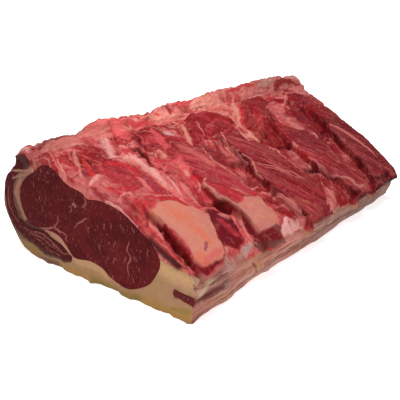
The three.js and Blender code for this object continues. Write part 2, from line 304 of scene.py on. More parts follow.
def distance_to(path, x, y):
    """Distance of places from a path of points, and how far along the path, from 0 to 1, each lies."""
    best = np.full(np.shape(x), np.inf)
    passed = np.zeros(np.shape(x))
    for number, ((x0, y0), (x1, y1)) in enumerate(zip(path[:-1], path[1:])):
        run_x, run_y = x1 - x0, y1 - y0
        share = ((x - x0) * run_x + (y - y0) * run_y) / max(run_x ** 2 + run_y ** 2, TINY)
        share = np.clip(share, 0, 1)
        away = np.hypot(x - x0 - share * run_x, y - y0 - share * run_y)
        passed = np.where(away < best, (number + share) / (len(path) - 1), passed)
        best = np.minimum(best, away)
    return best, passed


# Strokes and patches of paint: how soft, thin and ragged they are, and the colours that hide all fibres
STROKE_SOFT = 0.7
FACE_SOFT = 0.35
STROKE_WIDE = (4, 8)
STROKE_TIP = 0.08
STROKE_THINS = (4, 9)
STROKE_WARP = 1.1
STROKE_RAGGED = 0.5
PATCH_SOFT = 0.8
PATCH_MARGIN = 6
STROKE_STEPS = 4
PATCH_STEPS = 6
TINY = 1e-9
SMOOTH_COLOURS = ("pad", "pad 2", "pad warm", "hole", "white", "cream",
                  "rose", "cartilage", "body", "ridge")


def close_to(path, margin, x, y):
    """Which places lie within a margin of the box round a path."""
    low, high = path.min(0) - margin, path.max(0) + margin
    return (x > low[0]) & (x < high[0]) & (y > low[1]) & (y < high[1])


def brush(points, half, soft, x, y):
    """Which places a stroke reaches, and its share there.

    The share goes from 1 to 0 over the soft outer part of the stroke. A long stroke grows thin toward its
    ends.
    """
    path = curve_points(points, STROKE_STEPS * len(points))
    reached = close_to(path, half, x, y)
    away, passed = distance_to(path, x[reached], y[reached])
    length = np.linalg.norm(np.diff(path, axis=0), axis=1).sum()
    thin = np.sqrt(np.clip(4 * passed * (1 - passed), STROKE_TIP, 1))
    width = half * mix(1, thin, smooth(length / half, *STROKE_THINS))
    return reached, 1 - smooth(away / width, 1 - soft, 1)


def inside_outline(points, x, y):
    """Which places lie near an outline, and how far in mm inside it they are."""
    path = curve_points(points, PATCH_STEPS * len(points), closed=True)
    path = np.concatenate([path, path[:1]])
    reached = close_to(path, PATCH_MARGIN, x, y)
    x, y = x[reached], y[reached]
    crossings = np.zeros(np.shape(x), int)
    for (x0, y0), (x1, y1) in zip(path[:-1], path[1:]):
        spans = (y0 > y) != (y1 > y)
        meets = x0 + (y - y0) * (x1 - x0) / (y1 - y0 if y1 != y0 else TINY)
        crossings += spans & (x < meets)
    return reached, np.where(crossings % 2 == 1, 1, -1) * distance_to(path, x, y)[0]


class Canvas:
    """Places on a surface, in mm, with what is painted there: a tint, a relief in mm and how bare of fibres
    it is."""

    def __init__(self, tint, x, y, seed=SEEDS["paint"], soft=STROKE_SOFT):
        self.soft = soft
        rough, other = Grain(seed), Grain(seed + 1)
        ragged = STROKE_RAGGED * rough.layers(x / 2.6, y / 2.6 + 70, 2)
        self.x = x + STROKE_WARP * rough.layers(x / 9 + 40, y / 9, 2) + ragged
        self.y = y + STROKE_WARP * other.layers(x / 9, y / 9 + 40, 2) - ragged
        self.mottle = other.layers(x / 8, y / 8, 3)
        self.tint = np.array(tint)
        self.relief = np.zeros(np.shape(x))
        self.bare = np.zeros(np.shape(x))

    def stroke(self, colour, half, rise, cover, points):
        soft = max(self.soft, smooth(half, *STROKE_WIDE))
        reached, share = brush(points, half, soft, self.x, self.y)
        self.tint[reached] = blend(self.tint[reached], colour, share * cover)
        self.relief[reached] += rise * share
        smoothed = share * (0.9 if colour in SMOOTH_COLOURS else 0.3)
        self.bare[reached] = np.maximum(self.bare[reached], smoothed)

    def patch(self, colour, second, rise, points):
        reached, depth = inside_outline(points, self.x, self.y)
        share = smooth(depth, -PATCH_SOFT, PATCH_SOFT)
        both = mix(PALETTE[colour], PALETTE[second], smooth(self.mottle[reached], -0.2, 0.7)[:, None])
        self.tint[reached] = mix(self.tint[reached], both, share[:, None])
        self.relief[reached] += rise * smooth(depth, -0.5, 3)
        smoothed = share * (1 if colour in SMOOTH_COLOURS else 0.2)
        self.bare[reached] = np.maximum(self.bare[reached], smoothed)

    def lay(self, strokes, place_of):
        """Lay strokes whose points are photo pixels, which place_of turns into places on the surface."""
        for _, *looks, pixels in strokes:
            lay_one = self.stroke if len(looks) == 4 else self.patch
            lay_one(*looks, [place_of(pixel) for pixel in pixels])
        return self


def view_axes():
    """Directions of the photo's camera: back from what it looks at, to the right and up."""
    back = np.array([math.sin(VIEW_TURN) * math.cos(VIEW_RISE), -math.cos(VIEW_TURN) * math.cos(VIEW_RISE),
                     math.sin(VIEW_RISE)])
    right = np.array([math.cos(VIEW_TURN), math.sin(VIEW_TURN), 0])
    return back, right, np.cross(back, right)


def sight(pixel):
    """Points in mm, from the near flank corner, along the sight line through a photo pixel."""
    back, right, up = view_axes()
    column, row = np.array(pixel) - PHOTO_PX / 2
    line = right * column - up * row - back * VIEW_FOCAL_PX
    reach = np.arange(*SIGHT_REACH, SIGHT_STEP)
    eye = np.array(VIEW_TARGET) + back * VIEW_DISTANCE
    return eye + np.multiply.outer(reach, line / np.linalg.norm(line))


def on_near_cut(pixel):
    """Place across and height of a photo pixel on the near cut end."""
    x, across, height = sight(pixel).T
    hit = np.argmax(x > NEAR_SLANT * across / SHOULDER)
    return across[hit], height[hit]


def on_flank(pixel):
    """Distance along and height of a photo pixel on the flank side."""
    x, across, height = sight(pixel).T
    hit = np.argmax(across > 0)
    return x[hit], height[hit]


class Skin:
    """A mesh made of blocks of points, each with a tint, shares of fibres and rawness, and a grain."""
    MERGE = 0.00002

    def __init__(self):
        self.points, self.tints, self.fibres, self.raws, self.grains, self.faces = [], [], [], [], [], []
        self.count = 0

    def add(self, points, tint, fibre, raw, grain, closed=False):
        """Add a block of rows and columns of points; a closed block's last column meets its first."""
        rows, columns = points.shape[:2]
        number = self.count + np.arange(rows * columns).reshape(rows, columns)
        turned = np.roll(number, -1, axis=1)
        quads = np.stack([number[:-1], turned[:-1], turned[1:], number[1:]], -1)
        quads = quads if closed else quads[:, :-1]
        self.faces.append(quads.reshape(-1, 4))
        self.points.append(points.reshape(-1, 3))
        self.tints.append(np.broadcast_to(tint, (rows, columns, 3)).reshape(-1, 3))
        self.fibres.append(np.broadcast_to(fibre, (rows, columns)).reshape(-1))
        self.raws.append(np.broadcast_to(raw, (rows, columns)).reshape(-1))
        self.grains.append(np.broadcast_to(grain, (rows, columns, 2)).reshape(-1, 2))
        self.count += rows * columns
        return number

    def build(self, name):
        points = np.concatenate(self.points)
        tints = np.concatenate(self.tints)
        faces = np.concatenate(self.faces)
        mesh = bpy.data.meshes.new(name)
        mesh.from_pydata(points.tolist(), [], faces.tolist())
        tint = mesh.attributes.new("tint", "FLOAT_COLOR", "POINT")
        tint.data.foreach_set("color", np.column_stack([tints, np.ones(len(tints))]).ravel())
        for label, values in (("fibre", self.fibres), ("raw", self.raws)):
            share = mesh.attributes.new(label, "FLOAT", "POINT")
            share.data.foreach_set("value", np.concatenate(values))
        corners = np.empty(len(mesh.loops), int)
        mesh.loops.foreach_get("vertex_index", corners)
        grain = mesh.uv_layers.new(name="grain")
        grain.data.foreach_set("uv", np.concatenate(self.grains)[corners].ravel())
        shape = bmesh.new()
        shape.from_mesh(mesh)
        bmesh.ops.remove_doubles(shape, verts=shape.verts, dist=self.MERGE)
        bmesh.ops.dissolve_degenerate(shape, edges=shape.edges, dist=self.MERGE / 4)
        bmesh.ops.recalc_face_normals(shape, faces=shape.faces)
        shape.to_mesh(mesh)
        shape.free()
        mesh.shade_smooth()
        piece = bpy.data.objects.new(name, mesh)
        bpy.context.scene.collection.objects.link(piece)
        return piece


def settle(piece, material, node):
    """Give a piece its material and its place in the frame."""
    piece.data.materials.clear()
    piece.data.materials.append(material)
    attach(piece, "root")
    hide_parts(node)


class Signal:
    """A number that a shader works out, with the usual signs of arithmetic."""

    def __init__(self, tree, socket):
        self.tree = tree
        self.socket = socket

    def maths(self, operation, *others):
        values = [self, *others]
        sockets = {number: getattr(value, "socket", value) for number, value in enumerate(values)}
        node = add_node(self.tree, "ShaderNodeMath", {"operation": operation}, sockets)
        return Signal(self.tree, node.outputs[0])

    def constant(self, value):
        node = add_node(self.tree, "ShaderNodeValue")
        node.outputs[0].default_value = value
        return Signal(self.tree, node.outputs[0])

    def __add__(self, other):
        return self.maths("ADD", other)

    __radd__ = __add__

    def __sub__(self, other):
        return self.maths("SUBTRACT", other)

    def __rsub__(self, other):
        return self.constant(other).maths("SUBTRACT", self)

    def __mul__(self, other):
        return self.maths("MULTIPLY", other)

    __rmul__ = __mul__

    def step(self, low, high):
        """A soft step from 0 at low to 1 at high."""
        sockets = {"Value": self.socket, "From Min": low, "From Max": high}
        node = add_node(self.tree, "ShaderNodeMapRange", {"interpolation_type": "SMOOTHSTEP"}, sockets)
        return Signal(self.tree, node.outputs["Result"])


def add_node(tree, kind, settings=None, sockets=None):
    """Add a node: its settings first, then values or links for its inputs."""
    node = tree.nodes.new(kind)
    for name, value in (settings or {}).items():
        setattr(node, name, value)
    for name, value in (sockets or {}).items():
        if isinstance(value, bpy.types.NodeSocket):
            tree.links.new(value, node.inputs[name])
        else:
            node.inputs[name].default_value = value
    return node


def mix_colour(tree, first, second, share):
    """Mix two colours, each a socket or a name in the palette, by a signal."""
    node = add_node(tree, "ShaderNodeMix", {"data_type": "RGBA"})
    for index, value in ((6, first), (7, second)):
        if isinstance(value, bpy.types.NodeSocket):
            tree.links.new(value, node.inputs[index])
        else:
            node.inputs[index].default_value = (*PALETTE[value], 1)
    tree.links.new(share.socket, node.inputs[0])
    return node.outputs[2]


def attribute(tree, name, output):
    return add_node(tree, "ShaderNodeAttribute", {"attribute_name": name}).outputs[output]


def stretched(tree, vector, scale):
    """A vector with each axis scaled by its own number."""
    node = add_node(tree, "ShaderNodeVectorMath", {"operation": "MULTIPLY"}, {0: vector, 1: scale})
    return node.outputs[0]


def noise(tree, vector, scale, detail, roughness, distortion=0.0):
    sockets = {"Vector": vector, "Scale": scale, "Detail": detail, "Roughness": roughness,
               "Distortion": distortion}
    return Signal(tree, add_node(tree, "ShaderNodeTexNoise", None, sockets).outputs[0])


def new_material(name):
    """A material and its tree with an output only."""
    material = bpy.data.materials.new(name)
    material.use_nodes = True
    material.node_tree.nodes.clear()
    return material, material.node_tree


COAT_ROUGHNESS = 0.16
COAT_IOR = 1.38


def finish_material(tree, colour, roughness, coat, normal, specular):
    """A moist surface: the varying inputs are linked and the steady ones are set."""
    settings = {"distribution": "MULTI_GGX"}
    sockets = {"Base Color": colour, "Roughness": roughness.socket, "Coat Weight": coat.socket,
               "Normal": normal, "Specular IOR Level": specular, "Coat Roughness": COAT_ROUGHNESS,
               "Coat IOR": COAT_IOR}
    shader = add_node(tree, "ShaderNodeBsdfPrincipled", settings, sockets)
    add_node(tree, "ShaderNodeOutputMaterial", None, {"Surface": shader.outputs[0]})


def bump(tree, height, strength, distance):
    """A normal from a signal of heights; the distance is in metres."""
    sockets = {"Height": height.socket, "Strength": strength, "Distance": distance}
    return add_node(tree, "ShaderNodeBump", None, sockets).outputs[0]


def object_coords(tree):
    return add_node(tree, "ShaderNodeTexCoord").outputs["Object"]


def carried_looks(tree):
    """What a skin carries for its material: tint, fibres, rawness, grain and places in metres."""
    tint = attribute(tree, "tint", "Color")
    fibre, raw = [Signal(tree, attribute(tree, name, "Fac")) for name in ("fibre", "raw")]
    grain = add_node(tree, "ShaderNodeUVMap", {"uv_map": "grain"}).outputs[0]
    return tint, fibre, raw, grain, object_coords(tree)


def rib_material(looks):
    """Rib side: the tint with fine pale fibres along the grain, mottling and a wet sheen in patches."""
    material, tree = new_material("wet rib meat")
    tint, fibre, raw, grain, place_at = carried_looks(tree)
    fine = noise(tree, stretched(tree, grain, (40, 1000, 1)), 1.0, 2.0, 0.5, 0.3)
    coarse = noise(tree, stretched(tree, grain, (28, 420, 1)), 1.0, 2.0, 0.5, 0.4)
    mottle = noise(tree, place_at, 300.0, 4.0, 0.66)
    patches = noise(tree, place_at, 75.0, 3.0, 0.6)
    threads = fine.step(0.52, 0.72) * fibre
    bundles = coarse.step(0.4, 0.62) * fibre
    colour = mix_colour(tree, tint, "fibre light", threads * looks.fibre_share)
    colour = mix_colour(tree, colour, "fibre dark", (1 - bundles) * fibre * looks.fibre_dark)
    colour = mix_colour(tree, colour, "raw dark", mottle.step(0.5, 0.26) * raw * 0.5)
    colour = mix_colour(tree, colour, "raw light", mottle.step(0.56, 0.76) * raw * 0.28)
    heights = threads * 0.3 + bundles * 0.5 + mottle * raw * 0.8
    normal = bump(tree, heights, 0.6, 0.001)
    roughness = patches.step(0.35, 0.65) * 0.2 + looks.meat_roughness
    coat = patches.step(0.62, 0.45) * raw * looks.wetness
    finish_material(tree, colour, roughness, coat, normal, 0.05)
    return material


def cut_material(looks, name):
    """A cut face of meat: the tint with short pale upright flecks and a fine damp grain."""
    material, tree = new_material(name)
    tint, fibre, _, grain, place_at = carried_looks(tree)
    flecks = noise(tree, stretched(tree, grain, (900, 240, 1)), 1.0, 2.0, 0.5, 0.6)
    specks = noise(tree, stretched(tree, grain, (900, 640, 1)), 1.0, 2.0, 0.5, 0.4)
    spread = noise(tree, place_at, 60.0, 2.0, 0.5)
    mottle = noise(tree, place_at, 330.0, 4.0, 0.66)
    marbling = flecks.step(0.6, 0.72) * spread.step(0.3, 0.55) * fibre
    dots = specks.step(0.64, 0.74) * spread.step(0.34, 0.58) * fibre
    colour = mix_colour(tree, tint, "cut dark", mottle.step(0.5, 0.3) * 0.45)
    colour = mix_colour(tree, colour, "cut light", mottle.step(0.54, 0.76) * 0.4)
    colour = mix_colour(tree, colour, "fleck", marbling * looks.marbling)
    colour = mix_colour(tree, colour, "fleck", dots * looks.marbling * 0.7)
    normal = bump(tree, mottle * 0.6 + flecks * 0.4, 0.4, 0.0007)
    roughness = mottle.step(0.3, 0.7) * 0.15 + 0.55
    coat = spread.step(0.62, 0.4) * looks.wetness * 0.05
    finish_material(tree, colour, roughness, coat, normal, 0.02)
    return material


def sinew_material():
    """Sinew: pale pink with a fine mottling."""
    material, tree = new_material("pale sinew")
    place_at = object_coords(tree)
    mottle = noise(tree, place_at, 300.0, 3.0, 0.6)
    colour = mix_colour(tree, "pink", "rose", mottle.step(0.35, 0.65))
    normal = bump(tree, mottle, 0.3, 0.0005)
    finish_material(tree, colour, mottle * 0.2 + 0.45, mottle * 0.05, normal, 0.1)
    return material


def fat_material(looks):
    """Fat: the tint with waxy mottling, fine creases and a soft sheen."""
    material, tree = new_material("moist fat")
    tint, fibre, raw, grain, place_at = carried_looks(tree)
    streaks = noise(tree, stretched(tree, grain, (60, 420, 1)), 1.0, 3.0, 0.6, 0.6)
    mottle = noise(tree, place_at, 300.0, 4.0, 0.66)
    patches = noise(tree, place_at, 60.0, 3.0, 0.6)
    colour = mix_colour(tree, tint, "fat light", mottle.step(0.56, 0.78) * raw * 0.3)
    dark = mottle.step(0.48, 0.28) * raw.step(0, 0.4)
    colour = mix_colour(tree, colour, "fat dark", dark * 0.36)
    colour = mix_colour(tree, colour, "fat red", streaks.step(0.5, 0.68) * fibre * 0.5)
    normal = bump(tree, mottle * 0.6 + streaks * 0.4, 0.55, 0.001)
    roughness = patches.step(0.35, 0.65) * 0.16 + 0.46
    coat = patches.step(0.6, 0.42) * looks.wetness * 0.25
    finish_material(tree, colour, roughness, coat, normal, 0.07)
    return material


# Patches of the rib side: what it is, its two colours, its rise in mm, and its outline in photo pixels
RIB_PATCHES = [
    ("strap 1's end", "body", "wall", 0,
     [(192, 262), (204, 268), (215, 263), (225, 254), (230, 252), (229, 259), (218, 269), (207, 275),
      (196, 270)]),
    ("membrane under strap 1", "flank fat", "membrane", 0.5,
     [(197, 273), (207, 277), (219, 271), (231, 260), (241, 251), (252, 242), (256, 248), (245, 259),
      (232, 269), (218, 281), (206, 291), (199, 284)]),
    ("strap 2's end", "wall", "end brown", 0,
     [(254, 236), (264, 231), (276, 224), (284, 228), (288, 238), (277, 247), (262, 251), (253, 245)]),
    ("pad 1", "pad", "pad warm", 1.0,
     [(150, 213), (158, 205), (172, 203), (186, 206), (203, 212), (212, 225), (218, 239), (227, 249),
      (224, 256), (214, 265), (208, 269), (198, 261), (189, 247), (180, 235), (168, 227), (158, 220)]),
    ("pad 2", "pad 2", "pad", 0.8,
     [(212, 191), (224, 196), (236, 203), (246, 199), (254, 197), (264, 203), (273, 211), (278, 219),
      (275, 226), (266, 229), (260, 232), (252, 228), (241, 218), (231, 206), (220, 198)]),
    ("third head", "head", "strap red", 1.2,
     [(186, 118), (197, 113), (211, 113), (225, 117), (236, 128), (228, 136), (214, 131), (204, 141),
      (195, 145)]),
    ("fourth head", "head", "brick", 1.4,
     [(241, 106), (252, 96), (262, 98), (268, 109), (275, 123), (283, 138), (276, 148), (262, 141),
      (249, 130)]),
    ("far lobe", "head", "body", 1.4,
     [(287, 100), (295, 94), (305, 96), (316, 105), (326, 119), (331, 132), (322, 140), (308, 130),
      (294, 117)]),
    ("fat between the heads", "pink", "cream", 0,
     [(227, 106), (238, 101), (241, 116), (248, 131), (258, 141), (248, 142), (236, 130)]),
    ("fat by the far lobe", "pink", "rose", 0,
     [(268, 105), (284, 104), (285, 113), (294, 122), (305, 131), (294, 130), (280, 122)]),
    ("membrane of groove 2", "pad dusk", "white", 0.5,
     [(281, 225), (292, 216), (303, 217), (306, 222), (296, 231), (283, 238)]),
    ("body between the pads", "body", "wall", 2.0,
     [(205, 211), (215, 211), (226, 215), (234, 222), (240, 232), (245, 241), (240, 248), (231, 249),
      (225, 247), (219, 239), (214, 228), (209, 218)]),
]

# Strokes of fat, sinew, meat and clefts on the rib side, the clefts and crevices dark with painted shade:
# what it is, its colour, its half width in mm, its rise in mm, how much it covers, and photo pixels that it
# runs through
RIB_STROKES = [
    ("near strip", "strap red", 9, 0, 0.6, [(52, 152), (66, 178), (80, 190)]),
    ("near strip red line", "head", 2, -0.4, 0.7, [(68, 150), (72, 166)]),
    ("near strip red line", "head", 2, -0.4, 0.7, [(47, 155), (60, 176)]),
    ("near strip pale line", "cream", 1.3, 0.4, 0.8, [(57, 158), (61, 170), (68, 181)]),
    ("near strip pale line", "rose", 1.2, 0.2, 0.6, [(49, 151), (60, 172), (70, 182)]),
    ("near strip pale line", "rose", 1.4, 0.2, 0.6, [(66, 146), (75, 166), (82, 176)]),
    ("near strip white streak", "cream", 3.0, 0.4, 0.6, [(74, 150), (78, 168), (82, 176)]),
    ("near strip grey patch", "vein", 3.2, 0, 0.6, [(84, 172), (89, 179)]),
    ("near strip flesh", "bright", 4, 0, 0.7, [(88, 166), (95, 178)]),
    ("near strip pale patch", "white", 3.5, 0.3, 0.5, [(91, 184), (101, 178)]),
    ("dark flesh by the cut", "head", 3.2, -0.5, 0.8, [(94, 188), (98, 193), (106, 196)]),
    ("flesh by the cut", "bright", 3, 0.2, 0.8, [(108, 189), (118, 193)]),
    ("band over the eye", "pink", 4, 0.4, 0.8, [(84, 192), (92, 199), (106, 203), (119, 212), (141, 234)]),
    ("edge of the band", "white", 1.6, 0.4, 0.7,
     [(82, 189), (92, 196), (106, 200), (119, 209), (142, 231)]),
    ("red of the band", "head", 1.4, -0.3, 0.6, [(96, 200), (108, 206), (131, 226)]),
    ("curl", "rose", 2.2, 1.3, 0.85, [(121, 206), (120, 200), (124, 195), (130, 195), (133, 201)]),
    ("flesh under the curl", "bright", 6, 0.3, 0.8, [(137, 203), (152, 206)]),
    ("red edge of body 1", "bright", 5, 0.8, 0.8,
     [(98, 167), (110, 164), (124, 166), (133, 173), (139, 182)]),
    ("body 1", "strap red", 9, 1.3, 0.75, [(108, 172), (118, 175), (130, 182)]),
    ("dark of body 1", "body", 4.5, 0, 0.6, [(113, 172), (131, 178)]),
    ("flesh under the body", "bright", 3, 0, 0.7, [(108, 189), (138, 189)]),
    ("first head", "head", 8, 1.3, 0.8, [(86, 142), (93, 147), (97, 155)]),
    ("first head's red", "strap red", 3, 0.3, 0.6, [(80, 141), (92, 139), (98, 144)]),
    ("crack by the first head", "hole", 1.3, -1.6, 0.9, [(84, 157), (92, 166)]),
    ("flesh by that crack", "ember", 2.6, 0.3, 0.85, [(82, 158), (88, 167)]),
    ("fat by the first head", "white", 7, 0.8, 0.8, [(104, 140), (113, 158)]),
    ("fat under the first head", "white", 3.5, 0.5, 0.7, [(112, 158), (127, 158)]),
    ("red lump", "coral", 8.5, 2.0, 0.85, [(118, 134), (126, 136)]),
    ("red side of the lump", "strap red", 3, 0, 0.7, [(112, 131), (122, 142)]),
    # Painted shadow under the red lump
    ("crescent under the red lump", "head", 3, -1.6, 0.9, [(113, 140), (118, 145), (125, 145), (131, 140)]),
    ("second head", "head", 7, 0.5, 0.8, [(134, 134), (147, 153)]),
    ("stripe of the second head", "hole", 1.2, -0.8, 0.8, [(134, 133), (146, 153)]),
    ("stripe of the second head", "pink", 1.2, 0.3, 0.8, [(137, 132), (148, 151)]),
    ("cleft", "hole", 3, -3.2, 0.95, [(129, 146), (154, 166)]),
    ("end of the cleft", "head", 2.2, -1.3, 0.8, [(154, 167), (170, 175)]),
    ("pale band by the cleft", "white", 5.5, 0.9, 0.7, [(131, 156), (166, 189)]),
    # Pale tissue along the band, with a painted highlight on it
    ("pale band's light", "white", 1.8, 0.4, 0.75, [(166, 178), (183, 198)]),
    ("purple vein", "vein", 2.8, 0.3, 0.7, [(143, 176), (163, 195)]),
    ("pale by the vein", "rose", 3, 0.3, 0.6, [(140, 180), (152, 193)]),
    ("flesh over pad 1", "bright", 3.2, -0.4, 0.9, [(144, 199), (176, 200), (201, 208)]),
    ("pale line over pad 1", "rose", 1.0, 0.3, 0.8,
     [(140, 195), (152, 197), (168, 196), (180, 199)]),
    ("lumps by the cleft", "strap red", 6, 1.0, 0.6, [(158, 160), (172, 170)]),
    ("pale lump", "cream", 4, 1.0, 0.7, [(160, 153), (165, 157)]),
    ("dark lump", "head", 3.5, -0.6, 0.75, [(168, 172), (174, 174)]),
    ("flesh of groove 1", "coral", 5, 0.8, 0.9, [(178, 158), (184, 168), (190, 170)]),
    ("cream lump", "cream", 3.4, 1.3, 0.95, [(187, 174), (189, 177)]),
    ("red lump of groove 1", "bright", 5, 1.2, 0.95, [(193, 178), (199, 180)]),
    ("pale curl", "white", 1.2, 0.8, 0.7, [(206, 179), (203, 183), (204, 187), (208, 188)]),
    ("flesh of groove 1", "strap red", 5, 0.4, 0.7, [(190, 190), (206, 198)]),
    ("dark of groove 1", "head", 2.4, -0.6, 0.7, [(190, 192), (196, 199), (203, 203)]),
    ("rose strip", "rose", 4, 0.6, 0.8, [(183, 186), (199, 205)]),
    ("dark body", "head", 4.5, -0.6, 0.9, [(201, 205), (217, 204)]),
    ("hole", "hole", 3.6, -2.6, 0.95, [(215, 206), (222, 207), (228, 211)]),
    ("hole by the ribbon", "hole", 1.8, -1.6, 0.8, [(229, 213), (236, 218), (246, 234)]),
    ("wall under pad 2", "wall", 3.4, -0.4, 0.9, [(224, 206), (235, 214), (257, 237)]),
    ("ribbon", "rose", 2.0, 1.0, 0.9, [(232, 213), (239, 220), (249, 238), (256, 243)]),
    ("pink bulge", "rose", 4.2, 0.8, 0.7, [(222, 218), (228, 220)]),
    ("shiny flesh", "strap red", 4.5, 0.4, 0.6, [(223, 226), (238, 237)]),
    ("pad's warm middle", "pad warm", 7, 0.2, 0.6, [(168, 213), (184, 221), (194, 232)]),
    ("pad's pale edge", "pad 2", 4, 0, 0.6, [(203, 216), (213, 240)]),
    ("pad's pink end", "pink", 4, 0, 0.6, [(207, 265), (222, 250)]),
    ("spot on pad 1", "vein", 1.8, -0.2, 0.75, [(206, 245), (205, 253)]),
    ("cleft by pad 1", "hole", 1.8, -2.6, 0.9, [(156, 220), (181, 252), (192, 263)]),
    ("pad's torn tip", "rose", 2.6, 0.5, 0.9, [(150, 218), (153, 226), (164, 240)]),
    ("flesh by the near edge", "strap red", 2.6, 0.2, 0.8, [(147, 227), (158, 240)]),
    ("red strip by the near edge", "head", 4, 0.4, 0.95, [(152, 236), (168, 249), (187, 267)]),
    ("cartilage", "cartilage", 4, 0.6, 0.85, [(166, 132), (171, 136)]),
    ("flesh of strap 2", "coral", 6, 0.5, 0.85, [(151, 128), (167, 153)]),
    ("red of strap 2", "head", 3.0, 0.2, 0.8, [(163, 126), (176, 131)]),
    ("band by the third head", "cream", 4, 0.5, 0.85, [(182, 126), (192, 147)]),
    ("third head", "head", 5.5, 0.8, 0.85, [(187, 119), (193, 140)]),
    ("third head's top", "strap red", 5, 0.5, 0.8, [(196, 118), (206, 118), (214, 122)]),
    ("web", "rose", 1.4, 0.5, 0.7, [(196, 123), (206, 137)]),
    ("web", "rose", 1.2, 0.5, 0.7, [(205, 129), (215, 125)]),
    ("gap in the web", "hole", 1.8, -1.3, 0.85, [(204, 133), (207, 138)]),
    ("dark behind the web", "head", 4, -0.6, 0.85, [(213, 142), (224, 157)]),
    ("strand", "cream", 1.6, 0.5, 0.8, [(221, 133), (229, 147), (234, 151)]),
    ("dark of groove 2", "wall", 4.2, -2, 0.85, [(221, 157), (236, 164), (240, 168)]),
    ("flap of groove 2", "rose", 2.4, 1.0, 0.8, [(228, 146), (235, 152), (246, 168)]),
    ("crack of groove 2", "hole", 1.5, -2.3, 0.95, [(238, 150), (252, 170)]),
    ("granules of groove 2", "brick", 6, 0.3, 0.75, [(236, 172), (256, 184)]),
    ("second crack", "hole", 1.4, -1.6, 0.8, [(261, 173), (270, 187)]),
    ("red of groove 2", "head", 4, 0, 0.8, [(258, 189), (274, 186)]),
    ("dark by strap 3", "hole", 3.2, -2.3, 0.9, [(271, 183), (278, 192), (308, 214)]),
    ("pale bit", "rose", 2.6, 0.5, 0.8, [(262, 193), (270, 194)]),
    ("pale bit", "rose", 2.4, 0.5, 0.8, [(274, 199), (280, 197), (284, 201)]),
    ("fat at groove 2's end", "rose", 3.4, 0.8, 0.85,
     [(276, 209), (285, 206), (294, 208), (301, 214), (305, 221)]),
    ("flesh in that fat", "head", 7, -0.3, 0.95, [(282, 210), (292, 218)]),
    ("flesh over pad 2", "bright", 4.5, 0.2, 0.8, [(224, 191), (241, 200)]),
    ("red edge of pad 2", "bright", 2.8, 0.3, 0.9, [(247, 192), (273, 209)]),
    ("pale line over pad 2", "cream", 1.2, 0.3, 0.85, [(231, 190), (250, 198)]),
    ("light of strap 2", "rose", 7, 0, 0.35, [(180, 146), (212, 166)]),
    ("near edge of strap 2", "cream", 1.3, 0.3, 0.85, [(196, 182), (205, 189), (224, 199)]),
    ("far edge of strap 2", "cream", 1.2, 0.3, 0.8,
     [(201, 148), (209, 158), (220, 167), (241, 179)]),
    ("streak of strap 2", "white", 1.0, 0.3, 0.8, [(240, 182), (251, 189), (258, 186)]),
    ("tendon of strap 3", "white", 1.2, 0.4, 0.8, [(262, 145), (275, 150), (304, 173)]),
    ("streak of strap 3", "cream", 1.1, 0.3, 0.7, [(253, 163), (284, 172), (310, 183)]),
    ("near edge of strap 3", "cream", 1.2, 0.3, 0.7,
     [(241, 153), (250, 160), (256, 170), (264, 176)]),
    ("pale patch of strap 3", "orange fat", 2.2, 0.2, 0.85, [(296, 199), (307, 203)]),
    ("red end of strap 3", "strap red", 6, 0, 0.6, [(318, 192), (326, 198)]),
    ("fourth head", "bright", 4.5, 0.5, 0.7, [(240, 107), (243, 125)]),
    ("fourth head's dark", "head", 5, 0.3, 0.7, [(250, 100), (256, 108), (260, 120)]),
    ("band of strap 3", "cream", 3.8, 0.6, 0.85, [(233, 100), (240, 124)]),
    ("band of strap 3", "cream", 1.8, 0.4, 0.85, [(240, 125), (255, 139)]),
    ("dark of strap 3's head", "head", 4, 0.4, 0.85, [(221, 117), (229, 120), (237, 127)]),
    ("arc over strap 3", "cream", 2, 0.4, 0.8, [(198, 111), (214, 112), (228, 116), (237, 123)]),
    ("red between the heads", "strap red", 6, 0.4, 0.7, [(255, 108), (262, 132)]),
    ("crack of the fourth head", "hole", 1.8, -1.6, 0.9, [(267, 111), (275, 126)]),
    ("crack of the fourth head", "hole", 1.4, -1.3, 0.85, [(260, 128), (272, 145)]),
    ("dark of the fourth head", "body", 3.5, -0.3, 0.8, [(270, 134), (276, 139)]),
    ("lumps of groove 3", "strap red", 3.5, 0.6, 0.6, [(279, 129), (285, 137), (288, 145)]),
    ("dark of groove 3", "hole", 2.8, -1.6, 0.85, [(277, 148), (284, 147), (290, 149)]),
    ("red of groove 3", "bright", 3, 0.4, 0.7, [(292, 150), (310, 159)]),
    ("pale bit of groove 3", "rose", 2.4, 0.5, 0.8, [(293, 143), (296, 147)]),
    ("granules of groove 3", "brick", 6, 0.3, 0.7, [(296, 164), (306, 178), (318, 188)]),
    ("hole of groove 3", "hole", 3.6, -2, 0.9, [(305, 171), (318, 169)]),
    ("dark by strap 4", "hole", 2.2, -1.6, 0.9, [(318, 168), (341, 182)]),
    ("stripe of groove 3", "rose", 2.2, 0.4, 0.75, [(321, 181), (335, 205)]),
    ("fat at groove 3's end", "rose", 3.4, 0.5, 0.85, [(326, 205), (332, 206), (331, 212)]),
    ("lumps at strap 4's end", "head", 6, 0.4, 0.8, [(336, 190), (344, 198), (342, 204)]),
    ("hole under the flap", "hole", 3.4, -1.6, 0.9, [(349, 193), (355, 196), (359, 190)]),
    ("tendon of strap 4", "rose", 1.2, 0.5, 0.85, [(309, 158), (323, 169), (341, 178)]),
    ("flap of strap 4", "pad 2", 2.6, 0.6, 0.85, [(341, 178), (350, 180), (357, 186), (364, 187)]),
    ("streak of strap 4", "white", 1.2, 0.3, 0.75, [(309, 134), (314, 135), (318, 139)]),
    ("dark of the fifth head", "body", 4, -0.3, 0.8, [(303, 112), (314, 125)]),
    ("crack of the fifth head", "hole", 2.0, -1.3, 0.85, [(320, 117), (324, 125), (322, 134)]),
    ("dark of groove 4", "head", 3.5, -0.8, 0.6, [(327, 127), (340, 145), (369, 171)]),
